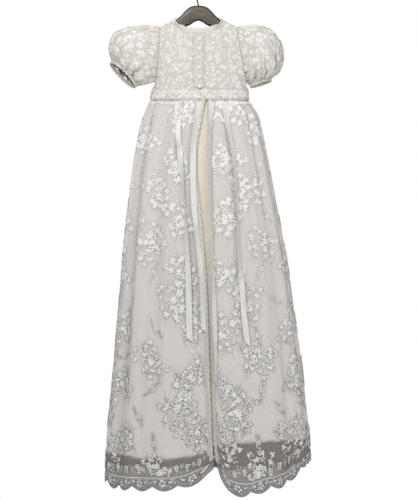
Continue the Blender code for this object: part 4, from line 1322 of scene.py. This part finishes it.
@dataclass
class Skirt:
    """The gathered overskirt, open down the front, with its hem and opening laces, over a satin lining."""

    room: Workroom
    rows: int = 150
    columns: int = 100
    border_rows: int = 8
    scallop: int = 16  # columns in each scallop
    tuck: float = 3.0  # the panels' tops are tucked this far up behind the waist band
    trim_width: float = 11.0
    trim_pitch: float = 15.0
    sheer_ease: float = 4.0  # the net's painted grey shade comes in over this height below the lining, mm
    lining_points: int = 110
    scallop_depth: float = 10.5  # how far the hem's lace rises between two scallops
    repeat: tuple[float, float] = (174.0, 60.0)  # bouquets' spacing across, and between their rows
    band_pitch: float = 8.5  # the spacing of the fans under the waist band
    hem_pitch: float = 27.0  # the spacing of the posies above the hem's lace

    def front_angle(self, side: int) -> AngleOf:
        """How a front panel's columns run, from its opening edge to its side seam."""
        column = "left" if side < 0 else "right"
        seam = lambda z: side * (90.0 - side_gap(z))
        return lambda share, z: mix(skirt_angle(OPENING.read(column, z), z), seam(z), share)

    @staticmethod
    def back_angle(share: Grid, z: Grid) -> Grid:
        """How the back panels' columns run, from one side seam round to the other."""
        return mix(90.0 + side_gap(z), 270.0 - side_gap(z), share)

    @staticmethod
    def settle(
        angle_of: AngleOf, share: Grid, drop: Grid, top_z: float, hem_at: HeightOf
    ) -> tuple[Grid, Grid]:
        """Angles and heights of a panel's points, each a share of the way down to the hem below it."""
        z = mix(top_z, hem_at(np.zeros(np.broadcast(share, drop).shape)), drop)
        angle = angle_of(share, z)
        for _ in range(6):
            angle = angle_of(share, z)
            z = mix(top_z, hem_at(skirt_point(angle, z)[..., 0]), drop)
        return angle, z

    def build(self) -> None:
        """Builds the lining, the three panels, and their laces."""
        self.build_lining()
        panels = (
            ("front_left", self.front_angle(-1), HEM_LEFT, self.columns, 11),
            ("front_right", self.front_angle(1), HEM_RIGHT, self.columns, 12),
            ("back", self.back_angle, None, self.columns + 40, 13),
        )
        for name, angle_of, table, columns, seed in panels:
            self.build_panel(name, angle_of, table, columns, seed)

    @staticmethod
    def hem_of(table: Table | None) -> HeightOf:
        """The hem's height across a panel."""
        if table is not None:
            return lambda x: table.read("z", x)
        share = lambda x: ease((np.asarray(x) - BACK_HEM_RISES_AT) / BACK_HEM_RISES_OVER)
        return lambda x: BACK_HEM_Z + BACK_HEM_RISE * share(x)

    def build_lining(self) -> None:
        """Builds the two lining pieces."""
        drop = np.linspace(0.0, 1.0, self.lining_points)[:, None]
        front_angle = lambda share, z: mix(-90.0 + side_gap(z), 90.0 - side_gap(z), share)
        pieces = (
            ("front", front_angle, 0.0, LINING_CREASES),
            ("back", self.back_angle, LINING_BACK_RISE, LINING_CREASES_BACK),
        )
        for name, angle_of, rise, creases in pieces:
            hem = lambda x, rise=rise: HEM_LINING.read("z", x) + rise
            angle, z = self.settle(angle_of, drop.T, drop, WAIST_Z - 2.0, hem)
            cloth = Cloth(f"lining_{name}_satin", lining_point(angle, z))
            press(cloth, creases)
            made = weave(cloth, 0.5)
            self.room.wardrobe.dress(made, Stuff.LINING, "satin_lining", f"lining_{name}")
            self.room.declare(made, cloth, "hung", [f"waist_band_{name}"])

    def build_panel(
        self, name: str, angle_of: AngleOf, table: Table | None, columns: int, seed: int
    ) -> None:
        """Builds a net panel with its embroidery, hem lace and, on a front, its opening lace."""
        hem_at = self.hem_of(table)
        foot = lambda x: hem_at(x) + BORDER_HEIGHT
        drop, share = np.linspace(0.0, 1.0, self.rows)[:, None], np.linspace(0.0, 1.0, columns)[None, :]
        angle, z = self.settle(angle_of, share, drop, WAIST_Z + self.tuck, foot)
        cloth = Cloth(f"overskirt_{name}_net", skirt_point(angle, z))
        Gathers(columns // 6, 1.1, 0.2, seed).press_into(cloth)
        press(cloth, SKIRT_CREASES[name])
        lining = HEM_LINING.read("z", cloth.points[..., 0]) + (LINING_BACK_RISE if table is None else 0.0)
        # Where nothing backs the net, its material paints it a darker grey as shade.
        sheer = ease((lining - z) / self.sheer_ease)
        band = f"waist_band_{'back' if table is None else 'front'}"
        self.room.make(cloth, 0.3, SKIRT_NET, seed, self.cover, "gathered", [band], even=True, shade=sheer)
        self.build_border(name, angle_of, hem_at, cloth.points[-1], seed)
        if table is not None:
            self.build_trim(name, cloth.evened(), seed)

    def cover(self, work: Embroidery) -> None:
        """Lays bouquets in a half drop, posies between them and above the hem, and fans under the band."""
        vary = work.random.uniform
        top, low = float(work.widths[0]), float(work.widths[-1])
        for u in np.arange(4.0, top, self.band_pitch):
            work.move_to(u, 4.5 + vary(-1.0, 2.0))
            work.fan(0.0, 0.0, -90.0 + vary(-35.0, 35.0), vary(8.0, 12.0))
        for u in np.arange(12.0, low, self.hem_pitch):
            work.move_to(u + vary(-4.0, 4.0), work.length - vary(13.0, 27.0))
            work.posy(38.0, vary(-30.0, 30.0))
            work.fan(0.0, 5.0, vary(-120.0, -60.0), 9.0)
        apart, drop = self.repeat
        row, v = 0, 26.0
        while v < work.length + 30.0:
            width = float(work.width_at(v / work.length))
            u = 42.0 + (apart / 2.0 if row % 2 else 0.0) - apart / 4.0 * (row % 4 == 3)
            while u < width + 30.0:
                work.move_to(u + vary(-9.0, 9.0), v + vary(-9.0, 9.0))
                work.bouquet(vary(88.0, 108.0))
                work.move_to(u + apart / 2.0 + vary(-12.0, 12.0), v + vary(-14.0, 14.0))
                work.posy(vary(36.0, 46.0), vary(30.0, 150.0))
                u += apart
            v += drop
            row += 1

    def build_border(
        self, name: str, angle_of: AngleOf, hem_at: HeightOf, edge: Grid, seed: int
    ) -> None:
        """Builds the scalloped lace below a panel."""
        scallops = 10 if name == "back" else 6
        share = np.linspace(0.0, 1.0, scallops * self.scallop + 1)
        _, low = self.settle(angle_of, share, np.ones(1), WAIST_Z, hem_at)
        wave = np.abs(np.sin(math.pi * share * scallops))
        low = low + self.scallop_depth * (1.0 - wave)
        foot = skirt_point(angle_of(share, low), low)
        place = np.linspace(0.0, 1.0, len(edge))
        top = np.stack([np.interp(share, place, edge[:, i]) for i in range(3)], axis=-1)
        top[:, 2] -= BORDER_GAP
        drop = np.linspace(0.0, 1.0, self.border_rows)[:, None, None]
        cloth = Cloth(f"hem_lace_{name}_net", mix(top[None], foot[None], drop))
        lace = Edging(cloth.widths().mean() / scallops, cord=2.3, flower=15.0)
        # Nothing backs the hem's lace, so all of it takes the net's painted grey shade.
        bare_shade = np.ones((self.border_rows, len(share)))
        self.room.make(cloth, 0.3, HEM_LACE, seed + 20, lace.lay, "hung", [f"overskirt_{name}"], shade=bare_shade)

    def build_trim(self, name: str, panel: Cloth, seed: int) -> None:
        """Builds the scalloped lace down a front panel's opening edge."""
        side = name.removeprefix("front_")
        length, widths = panel.length(), panel.widths()
        count = round(length / self.trim_pitch)
        down = np.linspace(0.0, 1.0, count * 8 + 1)[None, :]
        width = np.interp(down, np.linspace(0.0, 1.0, len(widths)), widths)
        wave = np.abs(np.sin(math.pi * count * down))
        outer = 0.3 + 2.4 * (1.0 - wave)
        across = mix(self.trim_width, outer, np.linspace(0.0, 1.0, 5)[:, None]) / width
        points = panel.at(across, np.broadcast_to(down, across.shape), np.full(across.shape, LAP))
        cloth = Cloth(f"opening_trim_{side}_net", points)
        lace = Edging(self.trim_pitch, cord=1.7, flower=8.0)
        self.room.make(cloth, 0.5, TRIM, seed + 40, lace.lay, "hung", [f"overskirt_{name}"], turning=5.0)


SKIRT_CREASES: dict[str, tuple[tuple[float, ...], ...]] = {
    "front_left": (
        (0.1, 0.0, 0.55, 0.03, 2.6, 0.03), (0.22, 0.0, 0.75, 0.05, 3.4, 0.06),
        (0.38, 0.0, 0.6, 0.04, -1.6, 0.02), (0.42, 0.3, 1.0, 0.04, 3.2, -0.05),
        (0.55, 0.1, 0.9, 0.045, 3.6, 0.04), (0.68, 0.0, 0.8, 0.05, -1.8, 0.0),
        (0.76, 0.25, 1.0, 0.035, 3.0, 0.03), (0.84, 0.0, 0.6, 0.035, 2.6, 0.02),
    ),
    "front_right": (
        (0.16, 0.0, 0.55, 0.04, 3.2, 0.04), (0.3, 0.1, 0.8, 0.035, 3.0, 0.06),
        (0.36, 0.05, 0.9, 0.04, -1.8, 0.03), (0.5, 0.0, 0.7, 0.04, 3.4, 0.04),
        (0.54, 0.5, 1.0, 0.04, 3.2, -0.06), (0.68, 0.1, 1.0, 0.045, 3.2, 0.03),
        (0.8, 0.0, 0.85, 0.05, -1.6, 0.0), (0.88, 0.1, 0.9, 0.03, 2.8, -0.02),
    ),
    "back": (
        (0.12, 0.0, 0.8, 0.03, 2.0, 0.0), (0.27, 0.0, 0.6, 0.03, -1.8, 0.01),
        (0.41, 0.1, 1.0, 0.035, 2.0, 0.01), (0.56, 0.0, 0.7, 0.03, -1.8, 0.0),
        (0.7, 0.0, 0.95, 0.035, 2.2, 0.0), (0.86, 0.05, 0.8, 0.03, -1.8, -0.01),
    ),
}
LINING_CREASES = (
    (0.12, 0.72, 0.98, 0.03, 1.2, 0.03), (0.25, 0.6, 0.95, 0.025, -1.2, 0.04),
    (0.36, 0.74, 1.0, 0.03, 1.3, -0.03), (0.6, 0.7, 0.98, 0.03, 1.3, 0.03),
    (0.73, 0.6, 0.95, 0.03, -1.3, -0.03), (0.86, 0.75, 1.0, 0.03, 1.2, 0.02),
)
LINING_CREASES_BACK = (
    (0.15, 0.7, 0.98, 0.03, 1.2, 0.03), (0.4, 0.6, 0.95, 0.03, -1.2, 0.04),
    (0.62, 0.72, 1.0, 0.03, 1.3, -0.03), (0.85, 0.7, 0.98, 0.03, 1.3, 0.03),
)


@dataclass
class Bodice:
    """The lace bodice: two buttoned fronts and a back, with its placket, waist bands, collar and buttons."""

    room: Workroom
    rows: int = 60
    neck_columns: int = 34
    shoulder_columns: int = 26
    collar_scallops: int = 34
    collar_height: float = 10.6
    collar_wave: float = 3.0  # how much lower the collar is between two scallops
    corner_drop: float = 0.62  # the share of its height that the collar loses at the neck's corners
    corner_from: float = 34.0  # how far from the middle it starts to
    corner_over: float = 14.0
    buttons_at: tuple[float, float] = (3.0, -136.0)  # x and z of the highest
    button_pitch: float = 21.0

    def build(self) -> None:
        """Builds the panels and everything sewn on them."""
        corner = neck_share()
        crowd = corner * (1.0 - (1.0 - np.arange(self.neck_columns) / self.neck_columns) ** 2.4)
        half = np.concatenate([crowd, np.linspace(corner, 1.0, self.shoulder_columns)])
        front = np.concatenate([[0.006], half[1:]])
        self.panel("front_right", front, NECK_FRONT_Z, FRONT, 51)
        self.panel("front_left", -front, NECK_FRONT_Z, FRONT, 52)
        self.panel("back", np.concatenate([-half[::-1], half[1:]]), NECK_BACK_Z, BACK, 53)
        self.waist_band("front", FRONT, 54)
        self.waist_band("back", BACK, 55)
        self.placket()
        self.collar(half)
        self.buttons()

    def panel(self, name: str, share: Grid, lowest: float, side: int, seed: int) -> None:
        """Builds a bodice panel covered with lace."""
        drop = (np.arange(self.rows)[:, None] / (self.rows - 1)) ** 1.7
        z = mix(bodice_top(share, lowest, side)[None, :], WAIST_Z + 3.5, drop)
        cloth = Cloth(f"bodice_{name}_net", bodice_point(share[None, :], z, side))
        self.room.make(cloth, 0.6, BODICE_NET, seed, self.cover, "hung", ["hanger_bar"], even=True)

    @staticmethod
    def cover(work: Embroidery) -> None:
        """Covers cloth densely with small flowers, leaves and sprigs."""
        vary = work.random.uniform
        row, v = 0, 5.0
        while v < work.length:
            u = 4.0 + (7.0 if row % 2 else 0.0)
            width = float(work.width_at(v / work.length))
            while u < width:
                work.move_to(u + vary(-3.0, 3.0), v + vary(-3.0, 3.0))
                pick = work.random.random()
                if pick < 0.25:
                    work.flower(0.0, 0.0, vary(10.0, 13.0))
                elif pick < 0.6:
                    work.fan(0.0, 0.0, vary(0.0, 360.0), vary(8.0, 10.5))
                else:
                    work.sprig(0.0, 0.0, vary(0.0, 360.0), vary(-70.0, 70.0), 15.0, 7.5)
                u += 14.0
            v += 10.5
            row += 1

    def waist_band(self, name: str, side: int, seed: int) -> None:
        """Builds one half of the appliqué band round the waist."""
        share = np.linspace(-1.0, 1.0, 280)[None, :]
        wave = 1.0 - np.abs(np.sin(share * 9.0 * math.pi))
        z = mix(BAND_TOP_Z - 3.0 * wave, BAND_BOTTOM_Z + 1.5 * wave, np.linspace(0.0, 1.0, 10)[:, None])
        cloth = Cloth(f"waist_band_{name}_cloth", bodice_point(share, z, side, LAP))
        held_by = f"bodice_{'back' if side == BACK else 'front_left'}"
        self.room.make(cloth, 0.6, APPLIQUE, seed, self.cover_band, "laid", [held_by], even=True)

    @staticmethod
    def cover_band(work: Embroidery) -> None:
        """Lays one row of flowers and leaves."""
        vary = work.random.uniform
        width, tall = float(work.widths.mean()), work.length
        count = round(width / 16.0)
        for k in range(count):
            work.move_to((k + 0.5 + vary(-0.2, 0.2)) * width / count, 0.5 * tall)
            work.flower(0.0, vary(-5.0, 5.0), vary(11.0, 14.5))
            for way in (-1.0, 1.0):
                work.fan(7.5, way * vary(0.5, 4.5), -way * vary(40.0, 120.0), 9.5)
                work.leaf(-6.5, way * 5.0, -way * vary(60.0, 130.0), 8.0)

    def placket(self) -> None:
        """Builds the buttoned strip down the middle of the front, with lace along both its edges."""
        z = np.linspace(-126.0, BAND_TOP_Z + SEAM, 60)[:, None]
        x = np.linspace(-12.0, 13.0, 14)[None, :]
        cloth = Cloth("placket_cloth", bodice_point(share_at(x, z), z, FRONT, LAP))
        fronts = ["bodice_front_left", "bodice_front_right"]
        self.room.make(cloth, 0.6, TRIM, 56, self.cover_placket, "laid", fronts, even=True)

    @staticmethod
    def cover_placket(work: Embroidery) -> None:
        """Lays a row of small flowers down each side, between two cords."""
        tall, width = work.length, float(work.widths.mean())
        for k in range(int(tall / 8.0)):
            for way, u in ((-1.0, 4.2), (1.0, width - 4.2)):
                work.move_to(u, (k + 0.6) * 8.0)
                work.flower(0.0, 0.0, 6.2)
                work.leaf(0.0, 4.0, 90.0 + way * 20.0, 4.0)
        for u in (1.5, 7.6, width - 7.6, width - 1.5):
            work.move_to(0.0, 0.0)
            y = np.linspace(1.5, tall - 1.5, 60)
            work.cord(np.stack([u + 0.35 * np.sin(y), y], axis=1), 1.3, 1.0)

    def collar(self, half: Grid) -> None:
        """Builds the scalloped lace that stands up round the neck."""
        half = half[: self.neck_columns + 1]
        across = np.concatenate([-half[::-1], half[1:]])
        ring = []
        halves = ((across[:-1], NECK_FRONT_Z, FRONT), (across[:0:-1], NECK_BACK_Z, BACK))
        for share, lowest, side in halves:
            edge = bodice_point(share, bodice_top(share, lowest, side), side)
            edge[0, 1] = 0.0
            ring.append(edge)
        foot = np.concatenate(ring)
        foot = Cloth("foot", np.stack([foot, foot]), closed=True)
        count = self.collar_scallops
        even = np.linspace(0.0, 1.0, count * 6, endpoint=False)
        loop = np.concatenate([foot.points[0], foot.points[0][:1]])
        steps = np.linalg.norm(np.diff(loop, axis=0), axis=1)
        reached = np.concatenate([[0.0], np.cumsum(steps)])
        line = np.stack([np.interp(even * reached[-1], reached, loop[:, i]) for i in range(3)], axis=-1)
        wave = np.abs(np.sin(math.pi * count * even))
        rows = []
        for rise in np.linspace(0.0, 1.0, 5):
            narrow = mix(0.985, 0.965, rise)
            row = line * np.array([narrow, narrow if rise > 0.0 else 1.0, 1.0])
            height = rise * (self.collar_height - self.collar_wave * (1.0 - wave))
            corner = ease((np.abs(row[:, 0]) - self.corner_from) / self.corner_over)
            row[:, 2] += 0.3 + height * (1.0 - self.corner_drop * corner)
            rows.append(row)
        cloth = Cloth("collar_lace_net", np.array(rows), closed=True)
        lace = Edging(reached[-1] / count, cord=1.5, flower=6.5)
        held_by = ["bodice_front_left", "bodice_back"]
        self.room.make(cloth, 0.5, TRIM, 57, lace.lay, "hung", held_by, margin=-0.5, turning=5.0)

    def buttons(self) -> None:
        """Turns one domed pearl button and copies it down the placket."""
        bpy.ops.object.select_all(action="DESELECT")
        bpy.ops.mesh.primitive_cylinder_add(vertices=20, radius=4.0 * MM, depth=1.5 * MM)
        first = bpy.context.object
        bpy.ops.object.mode_set(mode="EDIT")
        bpy.ops.mesh.select_all(action="DESELECT")
        bpy.ops.object.mode_set(mode="OBJECT")
        for face in first.data.polygons:
            face.select = face.normal.z > 0.9
        bpy.ops.object.mode_set(mode="EDIT")
        bpy.ops.mesh.select_mode(type="FACE")
        bpy.ops.mesh.inset(thickness=1.0 * MM)
        bpy.ops.transform.translate(value=(0.0, 0.0, 0.5 * MM))
        bpy.ops.mesh.inset(thickness=1.3 * MM)
        bpy.ops.transform.translate(value=(0.0, 0.0, 0.3 * MM))
        bpy.ops.object.mode_set(mode="OBJECT")
        add_modifier(first, "BEVEL", width=0.35 * MM, segments=2, limit_method="ANGLE")
        shape = np.array([v.co for v in first.data.vertices]) / MM
        faces = [list(p.vertices) for p in first.data.polygons]
        bpy.data.objects.remove(first)
        for i in range(6):
            z = self.buttons_at[1] - i * self.button_pitch
            share = share_at(self.buttons_at[0], z)
            x, y, _ = bodice_point(share, np.array(z), FRONT, LAP + 0.6 + 1.4).reshape(3)
            placed = np.stack([shape[:, 0] + x, -shape[:, 2] + y, shape[:, 1] + z], axis=1)
            made = new_mesh(f"pearl_button_{i + 1}", placed, faces)
            self.room.wardrobe.dress(made, Stuff.PEARL, "pearl_button", f"button_{i + 1}")


@dataclass
class Sleeves:
    """Two short puffed lace sleeves, gathered at the head and into a scalloped cuff."""

    room: Workroom
    columns: int = 144
    rows: int = 60
    cuff_scallops: int = 24

    def armhole(self, side: int) -> Grid:
        """The ring of the bodice's edge round an arm, a little clear of it."""
        top = float(bodice_top(np.array(float(side)), NECK_FRONT_Z, FRONT))
        middle, half = (top + UNDERARM_Z) / 2.0, (top - UNDERARM_Z) / 2.0
        turn = 2.0 * math.pi * np.arange(self.columns) / self.columns
        z = middle + half * np.cos(turn)
        front = bodice_point(float(side), z, FRONT)
        ring = np.where((np.sin(turn) >= 0.0)[:, None], front, front * np.array([1.0, -1.0, 1.0]))
        clear = 0.2 + 0.4 * np.maximum(0.0, (BODICE.read("reach", z) - 60.0) / 30.0)
        ring[:, 0] += side * clear
        ring[0, 1] = ring[self.columns // 2, 1] = 0.0
        return ring

    def ring(self, table: Table, key: float, along: Grid | float = 0.0) -> Grid:
        """A ring of the sleeve, moved along the sleeve's own direction.

        Args:
            table: The sleeve's rings.
            key: The ring's number, with a fraction.
            along: How far it is moved, mm.

        Returns:
            Its points.
        """
        names = ("top_x", "top_z", "under_x", "under_z", "half_depth", "lean")
        top_x, top_z, under_x, under_z, half_depth, lean = (float(table.read(name, key)) for name in names)
        cx, cz = (top_x + under_x) / 2, (top_z + under_z) / 2
        ux, uz = (top_x - under_x) / 2, (top_z - under_z) / 2
        half, side = math.hypot(ux, uz), math.copysign(1.0, cx)
        turn = 2.0 * math.pi * np.arange(self.columns) / self.columns
        ahead = along - lean * np.sin(turn)
        return stack(
            cx + ux * np.cos(turn) + side * uz / half * ahead, -half_depth * np.sin(turn),
            cz + uz * np.cos(turn) - side * ux / half * ahead,
        )

    def build(self) -> None:
        """Builds both sleeves and their cuffs."""
        for name, side, table, seed in (("left", -1, SLEEVE_LEFT, 61), ("right", 1, SLEEVE_RIGHT, 62)):
            last = float(table.keys[-1])
            keys = np.linspace(0.0, last, self.rows)
            first, head = self.armhole(side), self.ring(table, 1.0)
            rows = [mix(first, head, k) if k < 1.0 else self.ring(table, k) for k in keys]
            cloth = Cloth(f"sleeve_{name}_net", np.array(rows), closed=True)
            Gathers(26, 3.2, 0.55, seed).press_into(cloth)
            Gathers(24, 3.6, 0.85, seed + 10, foot=True).press_into(cloth)
            press(cloth, SLEEVE_CREASES[name])
            held_by = [f"bodice_front_{name}", "bodice_back"]
            self.room.make(cloth, 0.6, BODICE_NET, seed, Bodice.cover, "gathered", held_by)
            self.cuff(name, table, last, seed)

    def cuff(self, name: str, table: Table, last: float, seed: int) -> None:
        """Builds the scalloped lace at a sleeve's mouth."""
        count = self.cuff_scallops
        wave = np.abs(np.sin(math.pi * count * np.arange(self.columns) / self.columns))
        edge = 7.5 + 2.4 * wave
        rows = [self.ring(table, last, mix(1.1, edge, rise)) for rise in np.linspace(0.0, 1.0, 6)]
        cloth = Cloth(f"cuff_lace_{name}_net", np.array(rows), closed=True)
        lace = Edging(float(cloth.widths().mean()) / count, cord=1.4, flower=6.0)
        sleeve = [f"sleeve_{name}"]
        self.room.make(cloth, 0.5, TRIM, seed + 30, lace.lay, "hung", sleeve, margin=-0.5, turning=5.0)


SLEEVE_CREASES: dict[str, tuple[tuple[float, ...], ...]] = {
    "left": (
        (0.15, 0.45, 1.0, 0.016, -4.5, 0.02), (0.2, 0.35, 1.0, 0.018, 5.0, 0.02),
        (0.25, 0.4, 1.0, 0.014, -5.0, 0.02), (0.3, 0.3, 1.0, 0.018, 5.5, 0.0),
        (0.35, 0.4, 1.0, 0.015, -5.0, -0.02), (0.41, 0.35, 1.0, 0.018, 4.5, -0.03),
        (0.1, 0.05, 0.5, 0.018, 3.0, 0.02), (0.24, 0.05, 0.45, 0.018, -2.5, 0.0),
        (0.7, 0.4, 1.0, 0.018, -4.5, 0.02), (0.76, 0.35, 1.0, 0.018, 4.5, 0.0),
        (0.83, 0.4, 1.0, 0.018, -4.0, 0.0), (0.6, 0.4, 1.0, 0.018, 4.0, 0.0),
    ),
    "right": (
        (0.14, 0.45, 1.0, 0.016, -4.5, 0.0), (0.19, 0.35, 1.0, 0.018, 5.0, -0.02),
        (0.245, 0.4, 1.0, 0.014, -5.5, -0.01), (0.3, 0.3, 1.0, 0.018, 5.5, 0.02),
        (0.35, 0.4, 1.0, 0.015, -5.0, 0.02), (0.4, 0.3, 1.0, 0.018, 4.5, 0.02),
        (0.12, 0.05, 0.5, 0.018, 2.5, 0.0), (0.22, 0.05, 0.5, 0.018, -3.0, 0.02),
        (0.69, 0.4, 1.0, 0.018, -4.5, 0.0), (0.75, 0.35, 1.0, 0.018, 4.5, 0.02),
        (0.82, 0.4, 1.0, 0.018, -4.0, 0.0), (0.61, 0.4, 1.0, 0.018, 4.0, 0.0),
    ),
}

RIBBON_LINES: dict[str, Table] = {
    "outer_left": Table(
        "z x out turn",
        (-273.5, -46.5, 2.4, 0.0), (-300.0, -45.5, 3.2, 8.0), (-350.0, -44.0, 6.0, -12.0),
        (-370.0, -41.0, 8.5, 40.0), (-400.0, -39.0, 8.5, -25.0), (-460.0, -34.0, 8.5, -66.0),
        (-520.0, -29.5, 8.5, -74.0), (-590.0, -25.0, 8.5, -48.0), (-660.0, -22.0, 8.0, -20.0),
        (-740.0, -20.0, 6.0, 0.0), (-797.0, -19.0, 4.0, 10.0),
    ),
    "inner_left": Table(
        "z x out turn",
        (-273.5, 3.0, 3.4, 0.0), (-310.0, -4.0, 4.6, 40.0), (-360.0, -9.5, 5.6, 35.0),
        (-430.0, -11.5, 5.2, 6.0), (-500.0, -9.0, 5.2, 0.0), (-560.0, -3.5, 6.2, 45.0),
        (-620.0, 4.0, 6.4, 30.0), (-700.0, 9.0, 7.2, 45.0), (-776.0, 11.5, 6.4, 25.0),
    ),
    "inner_right": Table(
        "z x out turn",
        (-273.5, 30.0, 3.4, 0.0), (-310.0, 28.0, 6.4, 45.0), (-380.0, 25.5, 9.2, 66.0),
        (-460.0, 26.5, 9.8, 72.0), (-560.0, 30.0, 9.8, 72.0), (-660.0, 33.0, 9.8, 62.0),
        (-740.0, 35.5, 9.6, 38.0), (-790.0, 37.0, 9.6, 45.0), (-840.0, 38.0, 9.8, 62.0),
        (-890.0, 38.0, 9.8, 66.0),
    ),
    "outer_right": Table(
        "z x out turn",
        (-273.5, 57.0, 2.0, 0.0), (-300.0, 61.0, 3.4, 20.0), (-336.0, 67.0, 6.0, 38.0),
        (-380.0, 76.0, 8.0, 52.0), (-424.0, 81.0, 8.5, 62.0), (-500.0, 86.0, 8.5, 70.0),
        (-580.0, 87.5, 8.5, 72.0), (-640.0, 92.0, 8.5, 52.0), (-700.0, 97.0, 8.5, -30.0),
        (-750.0, 101.0, 6.0, 0.0), (-807.0, 108.0, 4.0, 10.0),
    ),
}


@dataclass
class Ribbons:
    """Four tails of satin ribbon that fall from under the waist band, each with its own turns."""

    room: Workroom
    half_width: float = 6.5
    cup: float = 1.1  # how far a tail's edges curl forward, mm
    slant: float = 5.0

    def build(self) -> None:
        """Builds each tail along its own line."""
        for name, table in RIBBON_LINES.items():
            z = np.linspace(table.keys[-1], table.keys[0], 150)
            across = np.linspace(-1.0, 1.0, 9)
            x, out, turn = (table.read(column, z) for column in ("x", "out", "turn"))
            dx, dy = np.cos(np.radians(turn)) * self.half_width, np.sin(np.radians(turn)) * self.half_width
            edge_x = x[:, None] + across * dx[:, None]
            y = skirt_point(skirt_angle(edge_x, z[:, None]), z[:, None])[..., 1]
            y = y - out[:, None] + across * dy[:, None] - self.cup * (across**2)
            low = ease((table.keys[0] + 26.0 - z) / 26.0)[:, None]
            cloth = Cloth(f"ribbon_{name}_satin", stack(edge_x, y, z[:, None] - across * self.slant * low))
            made = weave(cloth, 0.4)
            self.room.wardrobe.dress(made, Stuff.RIBBON, "satin_ribbon", f"ribbon_{name}")
            self.room.declare(made, cloth, "hung", ["waist_band_front"])


def main() -> None:
    """Builds the studio, the hanger and the gown in order."""
    logging.basicConfig(level=logging.INFO, format="%(name)s %(message)s")
    room = Workroom(Wardrobe(), Stitches())
    Studio().build()
    for part in (Hanger(room), Skirt(room), Bodice(room), Sleeves(room), Ribbons(room)):
        part.build()
        LOG.info("%s done", type(part).__name__)
    boxes = {"cad": CAD_BOX, "visual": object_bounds()}
    plain = {name: np.array(box, float).tolist() for name, box in boxes.items()}


if __name__ == "__main__":
    main()
